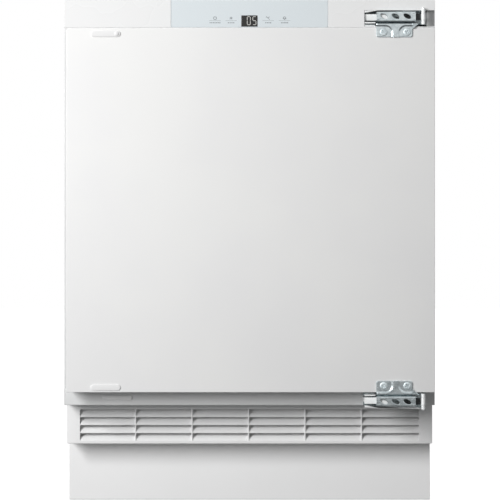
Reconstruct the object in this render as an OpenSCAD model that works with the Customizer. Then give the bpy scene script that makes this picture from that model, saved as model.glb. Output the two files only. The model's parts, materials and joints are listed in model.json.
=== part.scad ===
// Built-under larder refrigerator for a kitchen or counter niche.
// The door is plain and carries a furniture panel, so its articulated hinges,
// the louvred plinth grille and the set-back plinth stay in view.
// Axes: +X right as seen from the front, -Y front, +Z up.
// Origin: floor level, at the middle of the width and of the depth.

/* [Cabinet] */
// Width over the cabinet sides
cab_w = 597; // [560:1:600]
// Height from the floor to the top of the cabinet
cab_h = 815; // [800:1:870]
// Depth from the door face to the rear of the condenser
depth = 550; // [540:1:580]
// Height of the cabinet underside above the floor
base_h = 167; // [160:1:175]
// Insulated side wall, skins included
side_wall = 40; // [34:1:50]
// Insulated ceiling, skins included
top_wall = 67; // [60:1:80]
// Insulated floor, skins included
floor_wall = 45; // [42:1:50]
// Insulated back wall, skins included
back_wall = 55; // [50:1:60]
// Space behind the cabinet back for the condenser
rear_space = 15; // [14:1:18]
// Sheet steel of the outer skins
skin_t = 1; // [0.8:0.1:1.2]
// Moulded plastic of the inner liners
liner_t = 2; // [1.5:0.1:2.5]
// Inward fold of the cabinet skin round the front
front_fold = 18; // [16:1:20]

/* [Door] */
// Thickness of the door without its seal
door_t = 38; // [36:1:42]
// Thickness of the compressed magnetic seal
gasket_t = 7; // [6:0.5:8]
// Gap between the door and the control fascia
door_gap = 1.6; // [1:0.2:3]
// Height of the door's lower edge above the cabinet underside
door_rise = 25; // [25:1:28]
// Strip of cabinet left in view beside the door's free edge
door_reveal = 3.6; // [2:0.2:5]
// Width of the seal's run
gasket_w = 14; // [12:1:15]
// How far the door liner's raised frame stands into the cabinet
dyke_h = 37; // [30:1:40]
// Width of the raised frame
dyke_w = 22; // [18:1:24]

/* [Control fascia] */
// How far the fascia and the door end inside each cabinet side
fascia_gap = 4; // [3:0.5:8]
// Height of the control fascia
fascia_h = 43.4; // [42:0.2:46]
// Wall of the fascia moulding
fascia_wall = 2; // [1.6:0.2:2.4]
// Width of the tinted centre panel
panel_w = 249; // [200:1:260]
// Thickness of the tinted centre panel
panel_t = 0.8; // [0.6:0.1:1]
// Width of the display window
display_w = 26; // [20:1:30]
// Height of the display window
display_h = 19; // [16:1:22]

/* [Plinth and grille] */
// Set-back of the grille behind the cabinet front
grille_step = 41; // [36:1:44]
// Set-back of the plinth behind the grille
plinth_step = 43; // [38:1:46]
// Height of the grille's lower edge above the floor
grille_z = 100; // [96:1:104]
// Clearance under the plinth
plinth_clear = 2; // [1:1:5]
// Louvre blades one above the other
blade_count = 4; // [3:1:5]
// Louvre openings side by side
grille_cols = 6; // [4:1:8]
// Width of the louvred field
louvre_w = 552; // [500:1:560]
// Height of the louvred field
louvre_h = 50; // [46:1:54]
// Depth of a louvre blade, front to back
blade_depth = 16; // [12:1:20]
// Thickness of a louvre blade
blade_t = 2; // [1.6:0.2:2.4]

/* [Hinges] */
// Height of the upper hinge's centre line above the door
hinge_over = 18.2; // [17.6:0.2:18.6]
// Depth of the lower hinge's centre line below the door
hinge_under = 14; // [13.6:0.2:15]
// Distance of the hinge barrel from the door's hinged edge
barrel_inset = 18.9; // [18.5:0.1:22.5]
// How far the barrel's axis lies in front of the door face
barrel_proud = 4.5; // [4:0.5:5]
// Distance between the two pivots of the hinge link
link_len = 30; // [28:1:31]
// Length of the door-side channel
channel_len = 62; // [58:1:64]
// Height of the door-side channel
channel_h = 16.4; // [15:0.2:17]
// Sheet steel of the hinge
hinge_t = 1.5; // [1.2:0.1:1.8]
// How far the hinge stands in front of the door
hinge_proud = 10; // [9:0.5:12]

/* [Inside] */
// Shelves above the crisper
shelf_count = 3; // [2:1:3]
// Distance between shelves
shelf_pitch = 104; // [96:1:106]
// Thickness of the glass shelves
shelf_t = 4; // [3:0.5:5]
// Height of the crisper cover above the cabinet floor
crisper_cover_z = 118; // [112:1:124]
// Set-back of the shelves behind the cabinet front
shelf_setback = 118; // [115:1:125]
// Height of the compressor step above the cabinet floor
step_up = 50; // [44:1:54]
// Space left behind the crisper drawer
drawer_gap = 12; // [8:1:30]
// Wall of the drawer and the door balconies
tray_t = 2.5; // [2:0.1:3]

/* [Base] */
// Radius of an adjustable foot
foot_r = 18; // [15:1:20]
// Height of an adjustable foot's disc
foot_h = 9; // [8:1:12]
// Radius of a foot's threaded stem
stem_r = 5; // [4:0.5:6]
// Length of a foot's threaded stem
stem_len = 58; // [50:1:60]
// Underside of the base rails above the floor
rail_z = 20; // [18:1:24]

/* [Hidden] */

// running and assembly clearances
run_gap = 0.3;
pin_gap = 0.06;
eps = 0.01;
cut = 5;
corner_steps = 5;

// planes from front to back
y_face = (hinge_proud - depth) / 2;
y_cab = y_face + door_t + gasket_t;
y_grille = y_cab + grille_step;
y_plinth = y_grille + plinth_step;
y_rear = y_face + depth;
y_back = y_rear - rear_space;

// cabinet cavity
half_w = cab_w / 2;
fascia_w = cab_w - 2 * fascia_gap;
cav_w = half_w - side_wall;
z_ceil = cab_h - top_wall;
z_floor = base_h + floor_wall;
y_cav = y_back - back_wall;
corner_r = 14;

// compressor step: its front face and its top, on the outside of the insulation
step_wall = 36;
comp_depth = 150;
y_step = y_rear - comp_depth;
z_step = base_h + step_up + floor_wall - step_wall;

// door
z_door_top = cab_h - fascia_h - door_gap;
z_door = base_h + door_rise;
door_x0 = door_reveal - fascia_w / 2;
door_x1 = fascia_w / 2;
door_edge_r = 2.5;
gasket_out = cav_w + 17.5;
gasket_z0 = z_floor - gasket_w - 2;
gasket_z1 = z_ceil + gasket_w + 2;
dyke_out = cav_w - 12.5;
dyke_z0 = z_floor + 20;
dyke_z1 = z_ceil - 20;

// shelves
y_shelf = y_cab + shelf_setback;
z_cover = z_floor + crisper_cover_z;
function shelf_z(k) = z_cover + k * shelf_pitch;
ledge_w = 8;
ledge_h = 9;
ledge_nose = 6;
trim_d = 12;
trim_t = 2;
trim_lip = 3;
trim_nose = 4;
trim_up = 14;

// hinge parts, in the hinge's own frame: X and Y as the cabinet, Z from its centre line
hinge_z = z_door_top + hinge_over;
hinge_low_z = z_door - hinge_under;
pivot_y = y_face - barrel_proud;
barrel_x = door_x1 - barrel_inset;
link_x = barrel_x - link_len;
pin_r = 2;
eye_r = 3.5;
channel_over = 17.6;
channel_x0 = link_x + channel_over - channel_len;
channel_y = y_face - hinge_proud;
channel_back = y_face + 9;
arm_x0 = channel_x0 - 18.2;
arm_z0 = -12.6;
arm_z1 = 10.2;
arm_front = y_face + 1.5;
barrel_z1 = 13;
link_z = 5.4;
link_t = 2;
knuckle_z = link_z + run_gap;
flange_h = 32.5;
flange_x1 = channel_x0 + 57.8;
flange_t = 2;
ear_w = 5;
ear_h = 16;
emboss_t = 1.6;
screw_x = [channel_x0 + 11.8, channel_x0 + 49.2];
screw_drop = 24.2;
screw_r = 2.2;
head_r = 6.2;
head_h = 2.6;
head_rim = 0.8;
screw_len = 9;
notch_x0 = arm_x0 - 2;
notch_z0 = -15;
notch_z1 = 10.5;

arm_x1 = barrel_x + 6;
arm_screw_x = [channel_x0 + 4.8, channel_x0 + 36.8];
arm_screw_head = 4;
tongue_y = y_face + 12;
tongue_t = 2;
tongue_h = 9;
stem_x0 = channel_x0 + 26.3;
stem_x1 = channel_x0 + 35.3;
band_h = 6;
slot_first = 12.5;
slot_pitch = 18.6;
slot_r = 3.1;
slot_run = 5.8;
slot_tilt = 24;

// feet and rails
foot_inset = 34;
foot_x = half_w - foot_inset;
foot_y = [y_plinth + 36, y_rear - 52];
boss_r = 9;
boss_h = 24;
rail_w = 52;
rail_t = 2;
rail_post = 8;
stem_gap = 0.08;
foot_hex_r = 9.5;
foot_hex_h = 5;
foot_edge = 2;

// front rail of the cabinet and its cap
rail_h = 27;
rail_lip = 16;
rail_cap_x = -screw_x[0];
rail_cap_z = hinge_low_z + 1;
rail_cap_w = 48;
rail_cap_h = 7;
cap_t = 2.4;
peg_x = 12;
peg_r = 2;

// back panel ribs and the entry of the pipes
rib_w = 16;
rib_t = 2.5;
rib_pitch = 90;
rib_x = [-1.5 * rib_pitch : rib_pitch : 1.5 * rib_pitch];
rib_margin = 60;
pipe_r = 3;
pipe_entry_x = 150;
pipe_entry_z = z_step + 18;
entry_w = 20;
entry_h = 12;
entry_d = 14;

// drain, cold plate, sensor and lamp
gutter_t = 2.5;
gutter_h = 8;
drain_r = 7;
drain_t = 1.2;
drain_x = 0;
drain_y = y_step + 30;
evap_t = 1.6;
evap_w = 2 * (cav_w - 58);
evap_edge = 40;
sensor_x = -228;
sensor_drop = 55;
sensor_z = z_ceil - sensor_drop;
sensor_r = 4;
sensor_d = 12;
sensor_cap_r = 9;
sensor_cap_t = 3;
lamp_w = 120;
lamp_d = 44;
lamp_setback = 70;
lamp_y = y_cab + lamp_setback;
lamp_h = 10;
lamp_rim = 5;
lamp_wall = 3;

// ---- helpers ---------------------------------------------------------------

// box between two planes on each axis
module block(x0, x1, y0, y1, z0, z1)
    translate([x0, y0, z0]) cube([x1 - x0, y1 - y0, z1 - z0]);

// (y, z) profile carried along X
module along_x(x0, x1)
    translate([x0, 0, 0]) rotate([90, 0, 90]) linear_extrude(x1 - x0) children();

// (x, z) profile carried along Y
module along_y(y0, y1)
    translate([0, y1, 0]) rotate([90, 0, 0]) linear_extrude(y1 - y0) children();

// (x, y) profile carried along Z
module along_z(z0, z1)
    translate([0, 0, z0]) linear_extrude(z1 - z0) children();

// upright round rod or bore
module rod(x, y, z0, z1, r)
    translate([x, y, z0]) cylinder(h = z1 - z0, r = r, $fn = 48);

// rod or bore from front to back
module rod_y(x, y0, y1, z, r)
    translate([x, y1, z]) rotate([90, 0, 0]) cylinder(h = y1 - y0, r = r, $fn = 48);

function quarter(cx, cy, r, a) = [
    for (i = [0 : corner_steps])
        [cx + r * cos(a + 90 * i / corner_steps), cy + r * sin(a + 90 * i / corner_steps)]
];

// rounded rectangle between two corners
function rrect(x0, y0, x1, y1, r) = concat(
    quarter(x1 - r, y1 - r, r, 0), quarter(x0 + r, y1 - r, r, 90),
    quarter(x0 + r, y0 + r, r, 180), quarter(x1 - r, y0 + r, r, 270));

module round_frame(x0, y0, x1, y1, r, wall)
    difference() {
        polygon(rrect(x0, y0, x1, y1, r));
        polygon(rrect(x0 + wall, y0 + wall, x1 - wall, y1 - wall, max(r - wall, 1)));
    }

// the upper hinge as drawn, or the lower one as its mirror image
module upper_hinge() translate([0, 0, hinge_z]) children();
module lower_hinge() translate([0, 0, hinge_low_z]) mirror([0, 0, 1]) children();

// unit vectors and a frame for straight pipe lengths and quarter bends
function unit(v) = v / norm(v);
module seat(p, u, v)
    let (w = cross(u, v))
    multmatrix([[u[0], v[0], w[0], p[0]], [u[1], v[1], w[1], p[1]],
                [u[2], v[2], w[2], p[2]], [0, 0, 0, 1]])
    children();

// pipe of radius r through square corners, each turned with bend radius b
module pipe(path, r, b) {
    last = len(path) - 1;
    for (i = [0 : last - 1]) {
        d = unit(path[i + 1] - path[i]);
        side = abs(d[2]) > 0.5 ? [1, 0, 0] : [0, 0, 1];
        start = path[i] + (i == 0 ? 0 : b) * d;
        run = norm(path[i + 1] - path[i]) - (i == 0 ? 0 : b) - (i == last - 1 ? 0 : b);
        seat(start, side, cross(d, side)) cylinder(h = run, r = r, $fn = 24);
    }
    if (last > 1) for (i = [1 : last - 1]) {
        a = unit(path[i] - path[i - 1]);
        c = unit(path[i + 1] - path[i]);
        seat(path[i] - b * a + b * c, -c, a)
            rotate_extrude(angle = 90, $fn = 48) translate([b, 0]) circle(r = r, $fn = 24);
    }
}

// ---- cabinet ---------------------------------------------------------------

// the food compartment, grown outwards by g; the compressor step stays out of it
module compartment(g, y0)
    difference() {
        along_y(y0, y_cav + g)
            polygon(rrect(-cav_w - g, z_floor - g, cav_w + g, z_ceil + g, corner_r + g));
        block(-half_w, half_w, y_step - step_wall + g, y_back, base_h, z_step + step_wall - g);
    }

// one folded sheet: left side, top and right side, folded in round the front
module outer_wrapper() color("white")
    difference() {
        block(-half_w, half_w, y_cab, y_back, base_h, cab_h);
        block(skin_t - half_w, half_w - skin_t, y_cab + skin_t, y_back + cut, base_h - cut, cab_h - skin_t);
        block(front_fold - half_w, half_w - front_fold, y_cab - cut, y_cab + cut, base_h - cut,
              cab_h - front_fold);
        // the folds stop above the bottom rail
        block(skin_t - half_w, half_w - skin_t, y_cab - cut, y_cab + cut, base_h - cut, base_h + rail_h);
    }

module back_panel() color("gainsboro")
    difference() {
        union() {
            block(skin_t - half_w, half_w - skin_t, y_back - skin_t, y_back, z_step, cab_h - skin_t);
            // pressed stiffening ribs
            for (x = rib_x)
                block(x - rib_w / 2, x + rib_w / 2, y_back - eps, y_back + rib_t, z_step + rib_margin,
                      cab_h - rib_margin);
        }
        pipe_entry(y_back - cut);
    }

// opening for the suction pipe and the capillary, from y0 out through the back
module pipe_entry(y0)
    block(pipe_entry_x - entry_h / 2, pipe_entry_x - entry_h / 2 + entry_w, y0, y_back + cut,
          pipe_entry_z - entry_h / 2, pipe_entry_z + entry_h / 2);

// floor of the cabinet, folded up over the compressor
module bottom_pan() color("gainsboro")
    difference() {
        along_x(skin_t - half_w, half_w - skin_t)
            polygon([
                [y_cab + rail_lip, base_h], [y_step + skin_t, base_h], [y_step + skin_t, z_step - skin_t],
                [y_back - skin_t, z_step - skin_t], [y_back - skin_t, z_step], [y_step, z_step],
                [y_step, base_h + skin_t], [y_cab + rail_lip, base_h + skin_t]]);
        drain_shape(drain_r);
    }

module cabinet_foam() color("khaki")
    difference() {
        block(skin_t - half_w, half_w - skin_t, y_cab + liner_t, y_back - skin_t, base_h + skin_t,
              cab_h - skin_t);
        compartment(liner_t, y_cab - cut);
        block(-half_w, half_w, y_step, y_back, base_h - cut, z_step);
        block(-half_w, half_w, y_cab - cut, y_cab + rail_lip, base_h - cut, base_h + rail_h);
        evaporator_shape(eps);
        drain_shape(drain_r);
        pipe_entry(y_back - entry_d);
        sensor_shape();
        lamp_pocket();
    }

// moulded food liner with shelf ledges, a step over the compressor and a front flange
module inner_liner() color("whitesmoke")
    difference() {
        union() {
            compartment(liner_t, y_cab + eps);
            // flange the door seal closes on
            along_y(y_cab, y_cab + liner_t)
                polygon(rrect(front_fold - half_w, base_h + rail_h, half_w - front_fold,
                              cab_h - front_fold, corner_r));
        }
        difference() {
            compartment(0, y_cab - cut);
            // ledges that carry the glass
            for (side = [-1, 1], k = [0 : shelf_count])
                mirror([side > 0 ? 0 : 1, 0, 0])
                    along_x(cav_w - ledge_w, cav_w)
                        polygon([[y_shelf, shelf_z(k) - ledge_h], [y_cav, shelf_z(k) - ledge_h],
                                 [y_cav, shelf_z(k)], [y_shelf, shelf_z(k)],
                                 [y_shelf - ledge_nose, shelf_z(k) - ledge_h / 2]]);
            // lip that keeps melt water on the step, over the drain
            block(-cav_w, cav_w, y_step - step_wall, y_step - step_wall + gutter_t, z_step,
                  z_step + step_wall + gutter_h);
        }
        drain_shape(drain_r - drain_t);
        sensor_shape();
        lamp_pocket();
    }

// bottom front member under the door: a pressed rail with a return lip below
module front_rail() color("gainsboro")
    difference() {
        along_x(-half_w + skin_t, half_w - skin_t)
            polygon([[y_cab, base_h], [y_cab + rail_lip, base_h], [y_cab + rail_lip, base_h + skin_t],
                     [y_cab + skin_t, base_h + skin_t], [y_cab + skin_t, base_h + rail_h],
                     [y_cab, base_h + rail_h]]);
        for (x = [rail_cap_x - peg_x, rail_cap_x + peg_x])
            rod_y(x, y_cab - cut, y_cab + cut, rail_cap_z, screw_r);
    }

// snap-in cap over the unused hinge holes of the rail
module rail_cap() color("white")
    pill_cap(rail_cap_x, rail_cap_z, rail_cap_w, rail_cap_h, y_cab);

// round-ended cap with two stub pegs into its holes
module pill_cap(x, z, w, h, y) {
    along_y(y - cap_t, y) polygon(rrect(x - w / 2, z - h / 2, x + w / 2, z + h / 2, h / 2 - eps));
    for (s = [-1, 1]) rod_y(x + s * peg_x, y - eps, y + skin_t, z, peg_r);
}

// ---- cooling circuit -------------------------------------------------------

module drain_shape(r) rod(drain_x, drain_y, z_step - cut, z_step + step_wall + cut, r);

// cold plate behind the liner's back wall; over opens the insulation for it
module evaporator_shape(over)
    block(-evap_w / 2, evap_w / 2, y_cav + liner_t - over, y_cav + liner_t + evap_t,
          z_cover + 2 * evap_edge, z_ceil - evap_edge);
module evaporator_plate() color("silver") evaporator_shape(0);

// carries melt water from the step down to the tray on the compressor
module drain_tube() color("dimgray")
    difference() {
        drain_tube_body(drain_r, 0);
        drain_tube_body(drain_r - drain_t, cut);
    }
module drain_tube_body(r, over)
    rod(drain_x, drain_y, z_step - 16 - over, z_step + step_wall - liner_t + over, r);

module sensor_shape()
    rod_y(sensor_x, y_cav - cut, y_cav + sensor_d, sensor_z, sensor_r);
module temperature_sensor() color("white")
    union() {
        rod_y(sensor_x, y_cav - sensor_cap_t, y_cav, sensor_z, sensor_cap_r);
        rod_y(sensor_x, y_cav - eps, y_cav + sensor_d, sensor_z, sensor_r - run_gap);
    }

module lamp_pocket()
    block(-lamp_w / 2, lamp_w / 2, lamp_y, lamp_y + lamp_d, z_ceil - cut, z_ceil + lamp_h);
module lamp_housing() color("whitesmoke")
    difference() {
        union() {
            lamp_block(run_gap, z_ceil - eps, z_ceil + lamp_h - run_gap);
            lamp_block(-lamp_rim, z_ceil - lamp_wall, z_ceil);
        }
        lamp_block(lamp_wall, z_ceil - cut, z_ceil + lamp_h - liner_t);
    }
module lamp_lens() color("white")
    difference() {
        lamp_block(lamp_wall + run_gap, z_ceil - lamp_rim, z_ceil + lamp_rim);
        lamp_block(2 * lamp_wall, z_ceil - lamp_wall, z_ceil + lamp_rim + cut);
    }
// the lamp's outline drawn in by g, between two heights
module lamp_block(g, z0, z1)
    block(g - lamp_w / 2, lamp_w / 2 - g, lamp_y + g, lamp_y + lamp_d - g, z0, z1);

// ---- base ------------------------------------------------------------------

// pressed channel along one side of the base; s = -1 left, 1 right
module base_rail(s)
    difference() {
        union() {
            mirror([s > 0 ? 0 : 1, 0, 0]) {
                block(half_w - rail_t, half_w, y_plinth + skin_t, y_back, rail_z, base_h);
                block(half_w - rail_w, half_w - eps, y_plinth + skin_t, y_back, rail_z, rail_z + rail_t);
                // rear post inside the cabinet side, under the overhanging insulation
                block(half_w - skin_t - rail_t, half_w - skin_t, y_step + skin_t, y_back, base_h - rail_post,
                      z_step - skin_t);
                for (y = foot_y) rod(foot_x, y, rail_z + eps, rail_z + rail_t + boss_h, boss_r);
            }
        }
        mirror([s > 0 ? 0 : 1, 0, 0])
            for (y = foot_y) rod(foot_x, y, rail_z - cut, rail_z + rail_t + boss_h + cut, stem_r + stem_gap);
    }
module base_rail_left() color("gainsboro") base_rail(-1);
module base_rail_right() color("gainsboro") base_rail(1);

plate_t = 2;
plate_z = rail_z + rail_t;
plate_x = half_w - rail_w + 6;
plate_y = [y_step + 8, y_back - 4];
plate_lip = 14;
module compressor_plate() color("silver")
    difference() {
        union() {
            block(-plate_x, plate_x, plate_y[0], plate_y[1], plate_z, plate_z + plate_t);
            for (y = [plate_y[0], plate_y[1] - plate_t])
                block(-plate_x, plate_x, y, y + plate_t, plate_z, plate_z + plate_lip);
        }
        for (s = [-1, 1], t = [-1, 1])
            rod(comp_x + s * mount_dx, comp_y + t * mount_dy, plate_z - cut, plate_z + cut, mount_hole_r);
    }

comp_x = 120;
comp_rear = 76;
comp_y = y_rear - comp_rear;
comp_r = 62;
comp_h = 138;
comp_base_r = 16;
comp_crown_r = 34;
weld_z = comp_h * 0.45;
weld_r = 3;
weld_h = 4;
mount_dx = 78;
mount_dy = 42;
mount_r = 10;
mount_neck_r = 6;
mount_neck_h = 7;
mount_hole_r = 3;
mount_h = 20;
mount_edge = 5;
lug_t = 3;
comp_z = plate_z + plate_t + mount_h - 2;

// hermetic shell: two deep-drawn cups welded at the middle, on a foot plate
module compressor() color("#202020")
    union() {
        translate([comp_x, comp_y, comp_z]) rotate_extrude($fn = 64)
            polygon(concat(
                [[0, 0], [comp_r * 0.55, 0]],
                [for (a = [-60 : 20 : 0])
                    [comp_r + comp_base_r * (cos(a) - 1), comp_base_r * (1.4 + sin(a))]],
                [[comp_r, weld_z], [comp_r + weld_r, weld_z], [comp_r + weld_r, weld_z + weld_h],
                 [comp_r, weld_z + weld_h]],
                [for (a = [0 : 15 : 75])
                    [comp_r + comp_crown_r * (cos(a) - 1), comp_h + comp_crown_r * (sin(a) - 1)]],
                [[0, comp_h]]));
        difference() {
            block(comp_x - mount_dx - mount_r - 4, comp_x + mount_dx + mount_r + 4,
                  comp_y - mount_dy - mount_r - 2, comp_y + mount_dy + mount_r + 2,
                  comp_z + 2, comp_z + 2 + lug_t);
            for (s = [-1, 1], t = [-1, 1])
                rod(comp_x + s * mount_dx, comp_y + t * mount_dy, comp_z - cut, comp_z + 2 * cut,
                    mount_neck_r + run_gap);
        }
    }

// rubber grommets between the compressor's foot plate and its carrier
module compressor_mounts() color("dimgray")
    for (s = [-1, 1], t = [-1, 1])
        translate([comp_x + s * mount_dx, comp_y + t * mount_dy, plate_z + plate_t])
            rotate_extrude($fn = 32)
                polygon([[0, 0], [mount_r, 0], [mount_r, mount_h - mount_edge], [mount_r - 2, mount_h],
                         [mount_neck_r, mount_h], [mount_neck_r, mount_h + mount_neck_h],
                         [0, mount_h + mount_neck_h]]);

// clipped on the compressor's terminal side
module start_relay() color("#303030")
    difference() {
        block(comp_x - comp_r - relay_d, comp_x - comp_r + relay_hug, comp_y - relay_w / 2,
              comp_y + relay_w / 2, comp_z + relay_z[0], comp_z + relay_z[1]);
        rod(comp_x, comp_y, comp_z, comp_z + comp_h, comp_r + weld_r + run_gap);
    }
relay_d = 34;
relay_hug = 22;
relay_w = 52;
relay_z = [30, 78];

tray_z = comp_z + comp_h + run_gap;
tray_h = 22;
tray_x0 = drain_x - 50;
tray_x1 = comp_x + 50;
tray_edge = 12;
module evaporation_tray() color("#404040")
    difference() {
        block(tray_x0, tray_x1, drain_y - tray_edge, y_back - tray_edge, tray_z, tray_z + tray_h);
        block(tray_x0 + liner_t, tray_x1 - liner_t, drain_y - tray_edge + liner_t,
              y_back - tray_edge - liner_t, tray_z + liner_t, tray_z + tray_h + cut);
    }

// serpentine across the back, both of its ends on the compressor's side
coil_x = 225;
coil_n = 12;
coil_pitch = 38;
coil_r = 2.4;
coil_z = z_step + 50;
coil_top = coil_z + (coil_n - 1) * coil_pitch;
coil_y = y_back + 8;
module condenser_coil() color("#202020")
    union() {
        for (k = [0 : coil_n - 1])
            translate([-coil_x, coil_y, coil_z + k * coil_pitch]) rotate([0, 90, 0])
                cylinder(h = 2 * coil_x, r = coil_r, $fn = 24);
        for (k = [0 : coil_n - 2])
            seat([k % 2 == 0 ? -coil_x : coil_x, coil_y, coil_z + (k + 0.5) * coil_pitch],
                 [0, 0, -1], [k % 2 == 0 ? -1 : 1, 0, 0])
                rotate_extrude(angle = 180, $fn = 48)
                    translate([coil_pitch / 2, 0]) circle(r = coil_r, $fn = 24);
    }

// upright stiffening wires, spot-welded in front of and behind the serpentine
wire_r = 0.8;
wire_n = 20;
wire_over = 14;
function wire_x(k) = -coil_x + wire_over + k * 2 * (coil_x - wire_over) / (wire_n - 1);
module condenser_wires() color("#202020")
    for (s = [-1, 1], k = [0 : wire_n - 1])
        rod(wire_x(k), coil_y + s * (coil_r + wire_r + pin_gap), coil_z - wire_over,
            coil_top + wire_over, wire_r);

// clips that hold the condenser off the back panel and keep the wall away from it
clip_w = 14;
clip_h = 22;
module condenser_clips() color("dimgray")
    for (x = [wire_x(1.5), wire_x(wire_n - 2.5)], k = [1, coil_n - 2])
        difference() {
            block(x - clip_w / 2, x + clip_w / 2, y_back, y_rear, coil_z + k * coil_pitch - clip_h / 2,
                  coil_z + k * coil_pitch + clip_h / 2);
            translate([x - cut - clip_w / 2, coil_y, coil_z + k * coil_pitch]) rotate([0, 90, 0])
                cylinder(h = clip_w + 2 * cut, r = coil_r + 0.1, $fn = 24);
        }

drier_x = coil_x + 18;
drier_z0 = comp_z + 40;
drier_len = 90;
drier_z1 = drier_z0 + drier_len;
drier_r = 6.8;
drier_neck = 6;
drier_cone = 8;
module filter_drier() color("#b87333")
    translate([drier_x, coil_y, 0])
        rotate_extrude($fn = 32)
            polygon([[0, drier_z0], [coil_r, drier_z0], [coil_r, drier_z0 + drier_neck],
                     [drier_r, drier_z0 + drier_neck + drier_cone],
                     [drier_r, drier_z1 - drier_neck - drier_cone],
                     [coil_r, drier_z1 - drier_neck], [coil_r, drier_z1], [0, drier_z1]]);

line_y = y_back + 6;
bend_r = 5.5;
stub_y = comp_y + comp_r - 6;
suction_z = comp_z + 50;
hot_x = comp_x + 30;
hot_z = comp_z + 24;
riser_x = drier_x + 24;
entry_y = y_back - 12;
capillary_x = pipe_entry_x + 9;
capillary_z = drier_z0 - 10;
capillary_r = 1.2;
capillary_bend = 4;
module refrigerant_lines() color("#b87333") {
    // suction pipe from the insulation down to the compressor
    pipe([[pipe_entry_x, entry_y, pipe_entry_z], [pipe_entry_x, line_y, pipe_entry_z],
          [pipe_entry_x, line_y, suction_z], [pipe_entry_x, stub_y, suction_z]], pipe_r, bend_r);
    // hot pipe from the compressor up to the top of the condenser
    pipe([[hot_x, stub_y, hot_z], [hot_x, coil_y, hot_z], [riser_x, coil_y, hot_z],
          [riser_x, coil_y, coil_top], [coil_x + eps, coil_y, coil_top]], coil_r, bend_r);
    // from the bottom of the condenser down into the drier
    pipe([[coil_x + eps, coil_y, coil_z], [drier_x, coil_y, coil_z], [drier_x, coil_y, drier_z1 + eps]],
         coil_r, bend_r);
    // capillary from the drier back into the insulation
    pipe([[drier_x, coil_y, drier_z0 - eps], [drier_x, coil_y, capillary_z],
          [capillary_x, coil_y, capillary_z], [capillary_x, coil_y, pipe_entry_z],
          [capillary_x, entry_y, pipe_entry_z]], capillary_r, capillary_bend);
}

// covered terminals of the mains supply, on the carrier plate
terminal_size = [50, 36, 34];
module terminal_block() color("#303030")
    translate([-half_w + 60, y_back - 8 - terminal_size[1], plate_z + plate_t]) cube(terminal_size);

// ---- feet ------------------------------------------------------------------

module foot(sx, k) color("dimgray")
    union() {
        translate([sx * foot_x, foot_y[k], 0]) rotate_extrude($fn = 48)
            polygon([[0, 0], [foot_r - foot_edge, 0], [foot_r, foot_edge], [foot_r, foot_h - foot_edge],
                     [foot_r - foot_edge, foot_h], [0, foot_h]]);
        // hexagon for a spanner
        translate([sx * foot_x, foot_y[k], foot_h - eps]) cylinder(h = foot_hex_h, r = foot_hex_r, $fn = 6);
        rod(sx * foot_x, foot_y[k], foot_h, foot_h + stem_len, stem_r);
    }
module foot_front_left() foot(-1, 0);
module foot_front_right() foot(1, 0);
module foot_rear_left() foot(-1, 1);
module foot_rear_right() foot(1, 1);

// ---- plinth and grille -----------------------------------------------------

grille_top = base_h - run_gap;
frame_d = 20;
grille_t = 3;
grille_wall = 2;
grille_sill = 5.5;
bar_w = 2.2;
bar_back = 0.4;
blade_pitch = louvre_h / blade_count;
blade_rise = blade_pitch * 0.72;
louvre_z0 = grille_z + grille_sill;
louvre_z1 = louvre_z0 + louvre_h;
plinth_fold = 14;
plinth_lap = 8;

// one louvre blade, its nose forward and low and its tail up and back
module blade(z)
    along_x(-louvre_w / 2 - eps, louvre_w / 2 + eps)
        polygon([
            [y_grille, z], [y_grille + blade_t / 2, z - blade_t / 2],
            [y_grille + blade_depth, z + blade_rise - blade_t], [y_grille + blade_depth, z + blade_rise],
            [y_grille + blade_t / 2, z + blade_t / 2]]);

module vent_grille() color("white")
    union() {
        difference() {
            // front frame with side, top and bottom returns to the plinth
            block(-half_w, half_w, y_grille, y_plinth, grille_z, grille_top);
            block(-half_w + grille_wall, half_w - grille_wall, y_grille + grille_t, y_plinth + cut,
                  grille_z + grille_wall, grille_top - grille_wall);
            block(-louvre_w / 2, louvre_w / 2, y_grille - cut, y_grille + cut, louvre_z0, louvre_z1);
        }
        // the louvred box behind the opening
        difference() {
            block(-louvre_w / 2 - grille_wall, louvre_w / 2 + grille_wall, y_grille + grille_t - eps,
                  y_grille + frame_d, louvre_z0 - grille_wall, louvre_z1 + grille_wall);
            block(-louvre_w / 2, louvre_w / 2, y_grille - cut, y_grille + frame_d + cut,
                  louvre_z0, louvre_z1);
        }
        for (k = [1 : grille_cols - 1]) {
            x = louvre_w * (k / grille_cols - 0.5);
            block(x - bar_w / 2, x + bar_w / 2, y_grille + bar_back, y_grille + frame_d, louvre_z0 - eps,
                  louvre_z1 + eps);
        }
        for (k = [0 : blade_count - 1])
            blade(louvre_z0 + 0.75 * blade_t + k * blade_pitch);
    }

// folded sheet plinth under the grille
module plinth_panel() color("white")
    along_x(-half_w, half_w)
        polygon([[y_plinth, plinth_clear], [y_plinth + plinth_fold, plinth_clear],
                 [y_plinth + plinth_fold, plinth_clear + skin_t], [y_plinth + skin_t, plinth_clear + skin_t],
                 [y_plinth + skin_t, grille_z + plinth_lap], [y_plinth, grille_z + plinth_lap]]);

// ---- control fascia --------------------------------------------------------

fascia_z = cab_h - fascia_h;
module fascia_notch(g)
    block(notch_x0 - g, fascia_w / 2 + cut, y_face - cut, y_cab + cut, hinge_z + notch_z0 - g,
          hinge_z + notch_z1 + g);

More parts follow.
